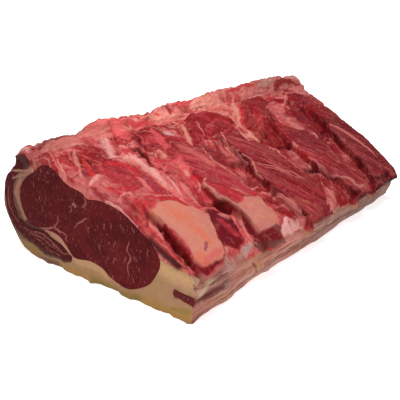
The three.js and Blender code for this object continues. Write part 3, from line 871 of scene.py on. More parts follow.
    ("crack of groove 4", "hole", 1.8, -1.6, 0.85, [(330, 131), (343, 147)]),
    ("crack of groove 4", "hole", 1.6, -1.4, 0.8, [(350, 155), (366, 168)]),
    ("far edge of strap 4", "pink", 2.2, 0.4, 0.7, [(334, 143), (344, 156)]),
    ("pale stripe of strap 5", "rose", 4, 0.4, 0.7, [(329, 124), (353, 139), (376, 158)]),
    ("dark end of strap 5", "head", 6, 0, 0.75, [(374, 170), (382, 176)]),
    ("black end of strap 5", "hole", 3.5, -0.6, 0.85, [(370, 182), (380, 180), (390, 174)]),
    ("far lobe", "head", 6.5, 1.2, 0.85, [(293, 99), (298, 104)]),
    ("rim of the far lobe", "rose", 2, 0.4, 0.8, [(285, 106), (286, 96), (296, 92), (304, 96)]),
    ("hole by the far lobe", "hole", 2.6, -1.6, 0.9, [(274, 98), (280, 99)]),
    ("dark by the far lobe", "head", 4, 0, 0.7, [(305, 94), (318, 104)]),
]

# Strokes of the ridge along the spine, laid out like those of the rib side
RIDGE_STROKES = [
    ("dark edge", "body", 4, -0.6, 0.7, [(32, 150), (42, 144), (68, 136)]),
    ("dark streak by the knob", "head", 2.4, -0.6, 0.8, [(29, 155), (33, 149), (40, 145)]),
    ("white by the knob", "white", 4, 0.6, 0.85, [(18, 151), (24, 149), (28, 152)]),
    ("salmon streak", "ridge", 4, 0.4, 0.8, [(32, 160), (46, 150), (80, 138)]),
    ("tan part", "pad dusk", 5, 0, 0.6, [(84, 132), (106, 130)]),
    ("pink part", "pink", 6, 0.4, 0.6, [(75, 128), (90, 124), (120, 124)]),
    ("red texture", "strap red", 5, 0, 0.7, [(132, 126), (154, 124)]),
    ("red crack", "head", 2.4, -1.2, 0.9, [(142, 113), (150, 117)]),
    ("red crack", "bright", 2.4, -1.0, 0.85, [(149, 111), (158, 114)]),
    ("red crack", "head", 3.4, -1.2, 0.9, [(162, 104), (171, 113)]),
    ("cream lumps", "cream", 3, 1.0, 0.85, [(150, 119), (164, 118)]),
    ("cream lumps", "cream", 3, 1.0, 0.8, [(160, 110), (168, 117), (178, 115)]),
    ("red edge", "strap red", 3, 0, 0.7, [(172, 106), (194, 99)]),
    ("pale part", "cream", 6, 0.3, 0.6, [(190, 105), (212, 101), (226, 104)]),
    ("crack", "end brown", 1.2, -0.8, 0.85, [(188, 110), (206, 106)]),
    ("yellow fat", "pale tan", 4, 0.4, 0.6, [(226, 106), (231, 111), (234, 118)]),
    ("dark rim", "end brown", 1.6, -0.4, 0.7, [(188, 98), (200, 92)]),
    ("red band", "strap red", 4.5, -0.3, 0.85, [(226, 91), (248, 85), (255, 88)]),
    ("grey pink part", "membrane", 4.5, 0.3, 0.7, [(258, 84), (274, 82)]),
    ("far red part", "head", 6, 0, 0.9, [(275, 92), (280, 84), (290, 83), (297, 86)]),
    ("far white rim", "white", 2.5, 0.3, 0.7, [(284, 79), (296, 79), (302, 84)]),
]

# Rib side: colours and fibres of the straps, relief in mm, and where it changes along and across
STRAP_COLOURS = ("strap red", "strap red", "strap", "strap", "strap far")
# The ends of the two far straps are near-black "hole": painted shade under their overhang
STRAP_END_COLOURS = ("body", "end brown", "wall", "hole", "hole")
STRAP_FIBRES = (0.5, 1.0, 1.0, 1.0, 0.8)
STRAP_EDGE = (-3.2, 1.6)
STRAP_DOME_INSIDE = (0, 14)
GROOVE_LUMPS = 1.2
SPINE_LUMPS = 1.4
SPINE_GRANULES = 0.5
CRACK_DEPTH = 1.5
STREAK_RISE = 0.25
WEB_RISE = 0.4
PIT_DEPTH = 0.6
# Painted shade in the deep parts of the grooves: depths in mm where it starts and is full, and the light
# left there
CAVITY_DEPTHS = (5, 18)
CAVITY_PAINTED_LIGHT = 0.75
FIBRE_TURN = math.radians(65)
FIBRE_WIDTH = 1.3
FIBRE_LENGTH = 26
# Painted shade that grows toward the far end
FAR_PAINTED_SHADE = 0.16
FINE_WEB = 0.55
# Strength of the painted shade in the fine pits
PIT_PAINTED_SHADE = 0.6
MOSAIC = (92, 126)
FAR_HEADS = 14
FAR_HEADS_ALONG = (0.55, 0.75)
NEAR_PATCHY = 0.45
NEAR_PATCHY_ALONG = (0.2, 0.32)
SHALLOW_SHIFT = 36
SHALLOW_ALONG = (0.26, 0.42)
SHALLOW_RISE = 0.75
NEAR_STRIP_ALONG = (0.045, 0.065)
NEAR_STRIP_ACROSS = (56, 70)
NEAR_STRIP_RISE = 0.6
SPINE_EDGE = 165
RIM_DROP = 2
RIB_PROUD = 0.1
RIM_ALONG = 0.03
EDGE_DROP = 0.45
EDGE_DROP_ACROSS = (0, 6)
FLANK_WALL_ACROSS = 4
GROOVE_EDGE = 2.0
STRAP_END_EDGE = 1.2 - STRAP_STANDS_OUT
THINNEST_WALL = 2
STRAP_END_WALL = 0.6
SKIRT_ROWS = 8
RIB_SPLIT = 0.42
RIB_PIECES = ("rib_side_near", "rib_side_far")


def strap_fields(along, across, wander):
    """How much of each place lies on a strap, which strap lies nearest, and how far in mm inside it."""
    nearest = np.zeros(np.shape(along), int)
    best = np.full(np.shape(along), -np.inf)
    for number, strap in enumerate(STRAPS):
        near = np.interp(across, strap["across"], strap["near"])
        far = np.interp(across, strap["across"], strap["far"])
        inside = np.minimum(along - near, far - along) * loin_length(across) + wander
        nearest = np.where(inside > best, number, nearest)
        best = np.maximum(best, inside)
    return smooth(best, *STRAP_EDGE), nearest, best


def shallow_share(along, across):
    """How much the grooves run out toward the spine, sooner in the near third."""
    return smooth(across + SHALLOW_SHIFT * (1 - smooth(along, *SHALLOW_ALONG)), *MOSAIC)


def near_strip_share(along, across):
    return (1 - smooth(along, *NEAR_STRIP_ALONG)) * smooth(across, *NEAR_STRIP_ACROSS)


def rib_base(along, across, on_strap, shape):
    """Height of the rib side with its grooves, without its lumps."""
    shallow = shallow_share(along, across)
    near_strip = near_strip_share(along, across)
    floor = shape.groove_depth / MM * (1 - on_strap) * (1 - SHALLOW_RISE * shallow) * (1 - near_strip)
    rim = 1 - smooth(along, 0, RIM_ALONG)
    return crest(along, across) - floor * (1 - rim) - RIM_DROP * rim * (1 - NEAR_STRIP_RISE * near_strip)


def edge_drop(along, across, shape):
    """How far in mm the rib side falls off at the flank edge."""
    edge = flank_edge(along / far_reach(across))
    return shape.strap_end / MM * EDGE_DROP * (1 - smooth(across - edge, *EDGE_DROP_ACROSS))


def on_rib_side(shape):
    """A function that gives the distance along and place across of a photo pixel on the rib side."""
    def place_of(pixel):
        x, across, height = sight(pixel).T
        along = (x - NEAR_SLANT * across / SHOULDER) / loin_length(across)
        on_strap, _, _ = strap_fields(along, across, 0)
        top = rib_base(along, across, on_strap, shape) - edge_drop(along, across, shape)
        top = np.where(across > SPINE_EDGE, spine_top(along, across, shape), top)
        hit = np.argmax(height < top)
        return x[hit], across[hit]
    return place_of


def rib_grain(x, across, upright):
    """Grain of the rib side in mm: its first axis runs along the fibres, which stand across in the heads
    and the near strip and lie aslant on the straps."""
    cos, sin = math.cos(FIBRE_TURN), math.sin(FIBRE_TURN)
    slant = np.stack([x * cos - across * sin, x * sin + across * cos], -1)
    straight = np.stack([across, x], -1)
    return np.where(upright[..., None], straight, slant)


def rib_top(along, across, shape):
    """Height, tint, shares of fibres and rawness, and grain of the rib side's top."""
    rough, other = Grain(shape.seed), Grain(shape.seed + 1)
    x = plan(along, across)
    wander = 1.1 * rough.layers(x / 16, across / 16, 3) + 0.6 * other.layers(x / 4, across / 4, 2)
    on_strap, number, inside = strap_fields(along, across, wander)
    spine = smooth(across + FAR_HEADS * smooth(along, *FAR_HEADS_ALONG), *MOSAIC)
    near_strip = near_strip_share(along, across)
    height = rib_base(along, across, on_strap, shape)

    lumps = rough.layers(x / 13, across / 13, 3)
    granules = np.abs(rough.layers(x / 6, across / 6, 2))
    mosaic = other.layers(x / 13 + 0.4 * lumps, across / 24, 3)
    webs = other.lines(x / 11, across / 19, 0.12)
    cracks = rough.lines(x / 19 + 5, across / 27 + 9, 0.06)
    height = height + shape.strap_dome / MM * smooth(inside, *STRAP_DOME_INSIDE) * (1 - spine)
    height = height + (1 - on_strap) * (granules + GROOVE_LUMPS * lumps)
    height = height + spine * (SPINE_LUMPS * lumps + SPINE_GRANULES * granules)

    grain = rib_grain(x + 1.6 * lumps, across, (spine > 0.5) | (near_strip > 0.3))
    streak = rough.layers(grain[..., 1] / FIBRE_WIDTH, grain[..., 0] / FIBRE_LENGTH, 2)
    broad = other.layers(grain[..., 1] / 9, grain[..., 0] / 40, 3)
    fibre = np.array(STRAP_FIBRES)[number] * on_strap * (1 - 0.5 * spine)
    fibre = np.maximum(fibre, near_strip * 0.7)
    colours = np.array([PALETTE[name] for name in STRAP_COLOURS])
    groove = blend(plain("groove", x), "coral", (1 - smooth(along, 0.2, 0.55)) * 0.95)
    groove = blend(groove, "rose", smooth(lumps, 0.1, 0.9) * 0.6)
    groove = blend(groove, "head", smooth(-lumps, 0.15, 0.8) * 0.7)
    tint = mix(groove, colours[number], on_strap[..., None])
    tint = blend(tint, "pink", smooth(broad, 0.1, 0.9) * 0.45 * fibre)
    tint = blend(tint, "body", smooth(-broad, 0.1, 0.9) * 0.6 * fibre)
    tint = blend(tint, "rose", smooth(streak, 0.15, 0.85) * shape.streaks * fibre)
    tint = blend(tint, "body", smooth(-streak, 0.1, 0.8) * shape.streaks * fibre)
    marble = blend(plain("strap red", x), "rose", smooth(mosaic, 0.05, 0.45))
    marble = blend(marble, "head", smooth(-mosaic, 0.0, 0.4))
    patchy = np.maximum(spine, NEAR_PATCHY * (1 - smooth(along, *NEAR_PATCHY_ALONG)))
    tint = mix(tint, marble, (patchy * 0.9)[..., None])
    tint = blend(tint, "cream", webs * (0.18 + 0.55 * patchy))
    # The cracks are sunk and darkened; the darkening is painted shade in them
    crack_share = cracks * (0.3 * (1 - on_strap) + 0.6 * spine)
    tint = blend(tint, "head", crack_share)
    height = height - CRACK_DEPTH * crack_share + STREAK_RISE * streak * fibre

    deep = (1 - shallow_share(along, across)) * (1 - near_strip)
    # Painted shade: the straps' steep walls in the deep grooves are darkened with the wall colour
    wall = smooth(on_strap, 0.05, 0.3) * (1 - smooth(on_strap, 0.6, 0.95)) * deep
    tint = blend(tint, "wall", wall * 0.7)
    canvas = Canvas(tint, x, across, shape.seed)
    canvas.lay(RIB_PATCHES + RIB_STROKES, on_rib_side(shape))
    fine = other.layers(x / 3.4, across / 4.2, 3)
    coarse_web = rough.lines(x / 6 + 3, across / 8, 0.13)
    fine_web = other.lines(x / 3.1, across / 4 + 8, 0.16)
    web = np.maximum(coarse_web, 0.8 * fine_web)
    loose = (1 - canvas.bare) * (1 - 0.75 * fibre)
    pits = smooth(-fine, 0.25, 0.9) * loose
    web = web * loose * smooth(lumps, -0.5, 0.4)
    tint = blend(canvas.tint, "rose", web * FINE_WEB)
    # Painted shade in the fine pits, which are also sunk
    tint = blend(tint, "wall", pits * PIT_PAINTED_SHADE)
    tint = blend(tint, "pink", smooth(fine, 0.1, 0.9) * canvas.bare * 0.3)
    # Painted shade at the feet of the strap walls in the deep grooves
    foot = smooth(on_strap, 0.05, 0.2) * (1 - smooth(on_strap, 0.5, 0.7)) * deep
    tint = blend(tint, "wall", foot * 0.55)
    height = height + canvas.relief + WEB_RISE * web - PIT_DEPTH * pits
    # Painted shade: darker in the deep parts of the grooves and toward the far end
    painted_cavity_shade = smooth(crest(along, across) - height, *CAVITY_DEPTHS)
    tint = tint * (mix(1, CAVITY_PAINTED_LIGHT, painted_cavity_shade) * (1 - FAR_PAINTED_SHADE * along))[..., None]
    raw = 1 - 0.75 * canvas.bare
    return height, tint, fibre * (1 - wall) * (1 - canvas.bare), raw, grain * MM


def rib_wall_tint(along, across, height, number, on_strap):
    """Tint of the walls under the rim: the near cut, and the straps' ends."""
    run = plan(along, across)
    speck = Grain(SEEDS["wall"]).layers(run / 5 + across / 5, height / 4, 3)
    ends = np.array([PALETTE[name] for name in STRAP_END_COLOURS])[number]
    tint = mix(plain("flank tan", run), ends, on_strap[..., None])
    tint = blend(tint, "head", smooth(speck, 0.1, 0.8) * 0.25)
    flank = Canvas(tint, run, height).lay(FLANK_STROKES, on_flank).tint
    far = blend(plain("strap far", run), "body", smooth(speck, -0.3, 0.6))
    tint = np.where((across < FLANK_WALL_ACROSS)[..., None], flank, far)
    near = (along < 0.012) & (across > -2)
    fat = blend(plain("pink", run), "rose", smooth(speck, -0.2, 0.6) * 0.7)
    fat = blend(fat, "head", smooth(-speck, 0.2, 0.7) * 0.5)
    strand = Grain(SEEDS["strands"]).layers((across + 0.6 * height) / 2.2, (height - 0.6 * across) / 14, 2)
    fat = blend(fat, "white", smooth(strand, 0.25, 0.8) * 0.6)
    fat = blend(fat, "head", smooth(-strand, 0.3, 0.9) * 0.5)
    fat = Canvas(fat, across, height, soft=FACE_SOFT).lay(FACE_STROKES, on_near_cut).tint
    return np.where(near[..., None], fat, tint)


def flank_edge(along):
    """Where the rib side ends at the flank: straps stand out over it."""
    on_strap, _, _ = strap_fields(along, np.zeros_like(along), 0)
    wobble = Grain(SEEDS["flank edge"]).layers(along * 30, 0.5, 2)
    return mix(GROOVE_EDGE, STRAP_END_EDGE, on_strap) + 1.1 * wobble


def rib_piece(name, along, across, height, tint, fibre, raw, grain, shape, material):
    """One piece of the rib side: its top, the walls round it and its underside."""
    skin = Skin()
    skin.add(place(along, across, height), tint, fibre, raw, grain)
    columns, rows = along.shape
    ring = [(i, 0) for i in range(columns)]
    ring += [(columns - 1, j) for j in range(1, rows)]
    ring += [(i, rows - 1) for i in range(columns - 2, -1, -1)]
    ring += [(0, j) for j in range(rows - 2, 0, -1)]
    pick = tuple(np.array(ring).T)
    ring_along, ring_across, ring_top, ring_tint = along[pick], across[pick], height[pick], tint[pick]
    floor = rib_under(np.clip(ring_along, 0, 1), np.maximum(ring_across, 0))
    low = np.minimum(floor, ring_top - THINNEST_WALL)
    strap_end = (ring_across < FLANK_WALL_ACROSS) & (ring_along > 0.004)
    low = np.where(strap_end, ring_top - shape.strap_end / MM * STRAP_END_WALL, low)
    share = np.linspace(0, 1, SKIRT_ROWS)[:, None]
    wall_height = mix(ring_top, low, share)
    bulge = np.where(strap_end, 1.4 * np.sin(np.pi * share) - 4 * smooth(share, 0.6, 1), 0)
    wall_across = ring_across - bulge
    near = (ring_along < 0.001) * RIB_PROUD / loin_length(ring_across)
    wall_along = ring_along - near * smooth(share, 0, 0.3)
    on_strap, number, _ = strap_fields(wall_along, wall_across, 0)
    wall = rib_wall_tint(wall_along, wall_across, wall_height, number, on_strap)
    wall = mix(np.broadcast_to(ring_tint, wall.shape), wall, smooth(share, 0, 0.25)[..., None])
    wall_grain = np.stack([wall_height, plan(wall_along, wall_across) + wall_across], -1) * MM
    skin.add(place(wall_along, wall_across, wall_height), wall, 0.2, 0.1, wall_grain, closed=True)
    middle = (along[columns // 2, 0], SHOULDER / 2)
    under = [np.full((1, len(ring)), value) for value in (*middle, rib_under(*middle))]
    last = (wall_along[-1:], wall_across[-1:], wall_height[-1:])
    bottom = [np.concatenate(pair) for pair in zip(last, under)]
    skin.add(place(*bottom), PALETTE["groove"], 0, 0, (0, 0), closed=True)
    settle(skin.build(name), material, "rib_meat")


def rib_meat(shape, looks):
    """The rib side, as a near piece and a far piece that meet in the second groove."""
    columns, rows = shape.grid, shape.grid // 2
    u = np.linspace(0, 1, columns)
    edge = flank_edge(u)[:, None]
    across = mix(edge, SPINE_EDGE, np.linspace(0, 1, rows)[None, :])
    along = u[:, None] * far_reach(across)
    height, tint, fibre, raw, grain = rib_top(along, across, shape)
    height = height - edge_drop(along, across, shape)
    split = int(RIB_SPLIT * columns)
    material = rib_material(looks)
    for name, part in zip(RIB_PIECES, (slice(0, split + 1), slice(split, columns))):
        fields = [field[part] for field in (along, across, height, tint, fibre, raw, grain)]
        rib_piece(name, *fields, shape, material)


# Rises and dips in mm of the ridge along the spine, at places along
RIDGE_LUMPS = [(0, -3), (0.035, 2), (0.085, -1), (0.155, -7), (0.19, 0), (0.24, 2), (0.32, -3), (0.38, -3),
               (0.44, 1), (0.52, -2), (0.61, 3), (0.71, 2), (0.85, 2), (1, -3)]

# Fat: its ridge, its spine side, its flank foot, and its cut ends
KNOB_RISE = 6
KNOB_ALONG = 0.07
SPINE_FOOT = 188
SPINE_BULGE = 20
SPINE_BULGE_TOP = 0.92
SPINE_ROUND = 4
SPINE_ROUND_FROM = 0.85
SPINE_TOP = SPINE_FOOT - SPINE_ROUND
SPINE_TUCK = 6
SPINE_TUCK_TOP = 0.05
SPINE_INSET = 1.5
SPINE_DENTS = 1.6
INNER_EDGE = RIB_WALL_TOP - 4
INNER_DROP = 3
INNER_LEAN = 1.8
RIDGE_RISES_ALONG = 0.16
RIDGE_WAVES = 46
# Painted light on the ridge: its tint brightened overall and darkened toward the far end
RIDGE_PAINTED_LIGHT = 1.2
RIDGE_FAR_PAINTED_SHADE = 0.4
FLANK_FOOT = (4, 7)
FLANK_FOOT_ALONG = 0.25
FLANK_FOOT_WAVE = 1.5
FLANK_ACROSS = (12, 30)
BRIM_GAP = 0.3
TOE_SIZE = 13
TOE_HEIGHT = 14
TOE_ALONG = 0.05
FACE_RINGS = 40
NEAR_FACE_POINTS = 700
NEAR_FACE_CORE = ((50, 40), (160, 55))
FAR_FACE_POINTS = 300
FAR_FACE_CORE = ((50, 30), (160, 40))
FACE_PALE = (0.1, 0.2)
# Painted shade on the cut ends, growing toward the spine side
FACE_PAINTED_SHADE = 0.35
FACE_PAINTED_SHADE_ACROSS = (120, 185)

# Strokes on the near cut end, laid out like those of the rib side
FACE_STROKES = [
    # The dark brown rims along the left end and the low edge are painted shade
    ("left rim", "rim brown", 10, 0, 0.97, [(9, 170), (1, 197), (5, 211), (20, 232), (30, 240)]),
    ("dark round the fork", "cap", 14, 0, 0.97, [(6, 176), (14, 168), (34, 160)]),
    ("dark of the left end", "rim brown", 8, 0, 0.95, [(15, 225), (28, 239)]),
    ("yellow lump", "ochre", 6, 0, 0.9, [(20, 241), (38, 252)]),
    ("low end of the cap strip", "cap", 6, 0, 0.97, [(26, 237), (50, 252), (70, 261)]),
    ("grey rim", "rim brown", 3, 0, 0.7, [(42, 257), (62, 266)]),
    ("tan rim", "ochre", 6, 0, 0.7, [(62, 266), (92, 279)]),
    ("olive rim", "olive", 9, 0, 0.9, [(96, 281), (126, 296), (142, 299)]),
    ("ochre rim", "ochre", 11, 0, 0.9, [(146, 302), (178, 316), (196, 317)]),
    ("olive part of that rim", "olive", 3, 0, 0.6, [(170, 308), (195, 313)]),
    ("dark by the crescent", "cap", 10, 0, 0.97,
     [(14, 176), (12, 188), (13, 200), (17, 212), (24, 224), (34, 232)]),
    ("crescent", "crescent", 3.2, 0, 0.95, [(21, 177), (18, 187), (18, 198), (26, 219)]),
    ("inner stain of the crescent", "orange fat", 1.4, 0, 0.8,
     [(22, 182), (20, 190), (21, 200), (28, 219)]),
    ("dark under the crescent", "cap", 4.5, 0, 0.95, [(27, 221), (43, 230), (50, 231)]),
    ("outer line of the crescent", "seam", 1.0, 0, 0.6, [(16, 180), (13, 190), (14, 200), (21, 220)]),
    ("wedge under the eye", "crescent", 3.6, 0, 0.85, [(42, 228), (57, 236), (69, 254)]),
    ("pale fat under the eye", "pale tan", 5, 0, 0.5, [(74, 260), (98, 268), (108, 278)]),
    ("right corner", "pale tan", 12, 0, 0.9, [(158, 266), (182, 279), (196, 283)]),
    ("warm part of the corner", "tan fat", 8, 0, 0.6, [(148, 291), (164, 292), (180, 302)]),
    ("dark knob", "knob", 12, 0, 0.97, [(13, 157), (20, 156), (26, 159)]),
    ("white cap of the knob", "white", 3.0, 0, 0.85, [(20, 148), (25, 148), (29, 152)]),
    ("green white patch", "green white", 7, 0, 0.85, [(197, 277), (200, 285), (198, 294)]),
    ("hole", "rim brown", 1.5, 0, 0.95, [(194, 287), (198, 287)]),
    ("dark round the flank strip", "strip", 4, 0, 0.95, [(176, 294), (187, 298), (198, 303)]),
    ("wedge muscle", "wedge", 6.5, 0, 0.97, [(144, 240), (160, 249), (179, 266)]),
    ("red strip over the wedge", "body", 4, 0, 0.95, [(149, 235), (170, 251), (188, 268)]),
]

# Strokes that lie on the fat and on the cap muscle alike
FORK_STROKES = [
    ("fork of fat", "crescent", 1.5, 0, 0.9, [(11, 171), (28, 170), (36, 165), (42, 157)]),
    ("arm of the fork", "crescent", 1.3, 0, 0.85, [(12, 178), (25, 174), (31, 170)]),
    ("pale bit of the left rim", "membrane", 3, 0, 0.5, [(3, 186), (1, 196), (4, 207)]),
]
FACE_STROKES += FORK_STROKES

# Strokes on the flank side, laid out like those of the rib side
FLANK_STROKES = [
    ("strap 1's end", "body", 4, 0, 0.9, [(194, 266), (206, 272), (233, 254)]),
    ("strap 2's end", "end brown", 5, 0, 0.9, [(256, 242), (266, 239), (275, 232)]),
    ("strap 3's end", "wall", 4, 0, 0.9, [(308, 217), (331, 203)]),
    ("grey pink membrane", "membrane", 9, 0.4, 0.8, [(208, 280), (236, 258)]),
    ("white membrane", "white", 4, 0.4, 0.75, [(234, 258), (252, 247)]),
    # Painted shadow stripe on the flank
    ("purple stripe", "far flank", 3, -0.3, 0.6, [(210, 285), (232, 269)]),
    # Painted shade round the flank strip
    ("dusk round the strip", "far flank", 9, 0, 0.6, [(200, 300), (230, 282)]),
    ("dark strip", "strip", 5, -0.5, 0.9, [(196, 303), (208, 297), (223, 286)]),
    ("green white patch", "green white", 8, 0.6, 0.85, [(201, 279), (205, 285), (202, 293)]),
    ("brown toe", "flank tan", 5.0, 0, 0.8, [(203, 314), (250, 280)]),
    ("warm tan", "orange fat", 8, 0, 0.45, [(238, 276), (252, 268), (268, 262)]),
    ("crack", "end brown", 1.5, -1.2, 0.8, [(253, 262), (261, 273)]),
    ("yellow by the crack", "ochre", 2.0, 0, 0.7, [(258, 263), (263, 270)]),
    ("red flange", "strap red", 1.8, 0.6, 0.85, [(256, 247), (266, 247), (275, 243)]),
    ("pale flange", "white", 5, 0.6, 0.6, [(280, 232), (296, 227)]),
    ("pink flank", "pad dusk", 5, 0.3, 0.7, [(270, 250), (286, 243), (302, 233)]),
    ("pale stripe", "membrane", 2, 0.3, 0.6, [(296, 228), (330, 214)]),
    ("brown foot", "far flank", 7.0, 0, 0.85, [(300, 246), (380, 194)]),
    # Painted shade along the flank's lower edge
    ("dark edge of the foot", "end brown", 3, 0, 0.6, [(206, 313), (340, 218)]),
    # Painted shade under the overhanging straps
    ("dark under the straps", "hole", 3.0, 0, 0.7, [(334, 206), (384, 184)]),
]


def ridge_crest(along, shape):
    """Height of the ridge along the spine."""
    places, lumps = zip(*RIDGE_LUMPS)
    tall = mix(1, shape.ridge_height / MM, smooth(along, 0, RIDGE_RISES_ALONG))
    rough = Grain(shape.seed + 5).layers(along * RIDGE_WAVES, 0.5, 3)
    return crest(along, SHOULDER) + tall + np.interp(along, places, lumps) + shape.ridge_lumps / MM * rough


def spine_top(along, across, shape):
    """Height of the fat between the rib side and the ridge."""
    inner = np.clip((SPINE_TOP - across) / (SPINE_TOP - INNER_EDGE), 0, 1)
    knob = KNOB_RISE * (1 - smooth(along, 0, KNOB_ALONG)) * np.sin(np.pi * inner)
    low = crest(along, RIB_WALL_TOP) - INNER_DROP
    return mix(ridge_crest(along, shape), low, smooth(inner, 0, 1)) + knob


def spine_side(rise):
    """Place across of the fat's spine side, at shares of the ridge's height."""
    bulge = SPINE_BULGE * np.sin(np.pi * np.clip(rise / SPINE_BULGE_TOP, 0, 1))
    tuck = SPINE_TUCK * (1 - smooth(rise, 0, SPINE_TUCK_TOP))
    round_off = SPINE_ROUND * smooth(rise, SPINE_ROUND_FROM, 1) + tuck
    return SPINE_FOOT + bulge - round_off - SPINE_INSET


def fat_ring(along, shape):
    """Ring of the fat cap's section at each station: places across and heights, as two grids."""
    rough = Grain(shape.seed + 5)
    foot = mix(*FLANK_FOOT, smooth(along, 0, FLANK_FOOT_ALONG))
    foot = foot + FLANK_FOOT_WAVE * rough.layers(along * 14, 0.5, 3)
    ridge = ridge_crest(along, shape)
    rise = np.linspace(0, 1, 56)[None, :]
    dents = SPINE_DENTS * rough.layers(along * 16, rise * 5, 3) * np.sin(np.pi * rise)
    spine_across = spine_side(rise) + dents
    spine_height = rise * ridge
    inner = np.linspace(0, 1, 31)[None, 1:]
    lean = INNER_LEAN * rough.layers(along * 40, inner * 3, 2)
    inner_across = mix(SPINE_TOP, INNER_EDGE, inner) + 0 * along
    inner_height = spine_top(along, inner_across, shape) + lean * np.sin(np.pi * inner)
    hidden_across = np.linspace(150, 6, 26)[None, :] + 0 * along
    hidden_height = rib_under(along, hidden_across) + mix(0.4, -1.5, smooth(along, 0, 0.02))
    brim = rib_under(along, np.zeros_like(along)) - BRIM_GAP
    drop = np.linspace(1, 0, 60)[None, :]
    flank_across = foot * (1 - drop) ** 2 + smooth(drop, 0.9, 1)
    flank_height = brim * drop
    foot_share = np.linspace(0, 1, 18)[None, 1:-1]
    foot_across = mix(foot, SPINE_FOOT - SPINE_TUCK, foot_share)
    foot_height = 0 * foot_across
    across = np.concatenate([spine_across, inner_across, hidden_across, flank_across, foot_across], 1)
    height = np.concatenate([spine_height, inner_height, hidden_height, flank_height, foot_height], 1)
    return across, height


def ridge_tint(along, across, shape):
    """Tint and relief in mm of the ridge along the spine: pale fat with streaks and red patches, under
    painted light that is dimmer at the near end and toward the far end.
    """
    rough, other = Grain(SEEDS["ridge"]), Grain(SEEDS["grit"])
    x = plan(along, across)
    patches = rough.layers(x / 19 + 7, across / 9, 3)
    streak = rough.layers(x / 13, across / 1.4, 2)
    grit = other.layers(x / 3.2, across / 3.2, 2)
    tint = blend(plain("ridge", x), "rose", smooth(-patches, 0.0, 0.7) * 0.7)
    tint = blend(tint, "strap red", smooth(patches, 0.15, 0.7) * 0.7)
    tint = blend(tint, "end brown", smooth(streak, 0.25, 0.9) * 0.55)
    tint = blend(tint, "white", smooth(-streak, 0.3, 0.9) * 0.5)
    tint = blend(tint, "head", smooth(-grit, 0.3, 0.9) * 0.6)
    tint = blend(tint, "strap red", (1 - smooth(across, 164, 172)) * 0.6)
    canvas = Canvas(tint, x, across, shape.seed).lay(RIDGE_STROKES + RIB_STROKES, on_rib_side(shape))
    # Painted light: the ridge's tint brightened, dimmer at the near end and toward the far end
    light = RIDGE_PAINTED_LIGHT * mix(0.66, 1, smooth(along, 0.03, 0.25)) * (1 - RIDGE_FAR_PAINTED_SHADE * smooth(along, 0.5, 1))
    return canvas.tint * light[..., None], canvas.relief + 0.5 * streak + 0.9 * grit


def fat_side(along, across, height, shape):
    """Tint, relief in mm sideways and upward, and share of red streaks of the fat's outside."""
    rough = Grain(SEEDS["fat"])
    x = plan(along, across)
    low = height / crest(along, across)
    speck = rough.layers(x / 9, (across + height) / 9, 3)
    streak = rough.layers(x / 30, height / 3.4, 3)
    tint = blend(plain("tan fat", x), "flank tan", smooth(speck, -0.3, 0.6))
    flank = 1 - smooth(across, *FLANK_ACROSS)
    side = blend(plain("flank fat", x), "flank tan", smooth(speck, 0, 0.7) * 0.7)
    side = blend(side, "membrane", smooth(streak, 0.1, 0.8) * 0.5)
    side = blend(side, "end brown", smooth(-streak, 0.2, 0.9) * 0.25)
    # Darker brown toward the far end; the extra darkening low down toward the floor is painted shade
    side = blend(side, "far flank", smooth(along, 0.35, 0.8) * (0.45 + 0.5 * (1 - low)))
    canvas = Canvas(side, x, height).lay(FLANK_STROKES, on_flank)
    tint = mix(tint, canvas.tint, flank[..., None])
    fold = rough.layers(x / 34, height / 14 + 5, 2)
    out = flank * (canvas.relief + 0.7 * streak + 0.5 * speck + 1.2 * fold)
    spine = smooth(across, 176, 186) * (1 - smooth(low, 0.8, 1))
    tint = blend(tint, "pale tan", spine * smooth(speck, -0.4, 0.5))
    ridge = smooth(across, 158, 168) * smooth(low, 0.8, 0.95)
    on_ridge = ridge > 0
    crown, crown_relief = ridge_tint(along[on_ridge], across[on_ridge], shape)
    tint[on_ridge] = mix(tint[on_ridge], crown, ridge[on_ridge][:, None])
    up = np.zeros(np.shape(x))
    up[on_ridge] = ridge[on_ridge] * crown_relief
    return tint, out, up, np.clip(0.25 + 0.5 * ridge + 0.1 * flank, 0, 1)


def face_tint(across, height):
    """Tint of the fat on a cut end, with painted shade toward the spine side."""
    speck = Grain(SEEDS["cut fat"]).layers(across / 7, height / 7, 3)
    tint = blend(plain("tan fat", across), "flank fat", smooth(speck, 0, 0.8) * 0.5)
    tint = Canvas(tint, across, height, soft=FACE_SOFT).lay(FACE_STROKES, on_near_cut).tint
    # Painted shade toward the spine side
    return tint * (1 - FACE_PAINTED_SHADE * smooth(across, *FACE_PAINTED_SHADE_ACROSS))[..., None]


def toe(across, height, shape):
    """How far in mm the low edge of a cut end stands out or back."""
    wave = Grain(shape.seed + 8).layers(across / TOE_SIZE, 0.5, 3)
    return shape.rim_wobble / MM * wave * (1 - smooth(height, 0, TOE_HEIGHT))


def disc(across, height, rings, core):
    """Rings of a flat face, from its outline in to a core line."""
    start, end = np.array(core[0], float), np.array(core[1], float)
    outline = np.stack([across, height], -1)
    run = end - start
    share = np.clip(((outline - start) @ run) / (run @ run), 0, 1)
    centre = start + share[:, None] * run
    steps = np.linspace(0, 1, rings)[:, None, None]
    grid = mix(outline[None], centre[None], steps)
    return grid[..., 0], grid[..., 1]


def resample(across, height, count):
    """The same closed outline with evenly spaced points."""
    closed = np.stack([np.append(across, across[0]), np.append(height, height[0])], -1)
    run = np.concatenate([[0], np.cumsum(np.linalg.norm(np.diff(closed, axis=0), axis=1))])
    stops = np.linspace(0, run[-1], count, endpoint=False)
    return np.interp(stops, run, closed[:, 0]), np.interp(stops, run, closed[:, 1])


def face_grain(across, height):
    return np.stack([across, height], -1) * MM


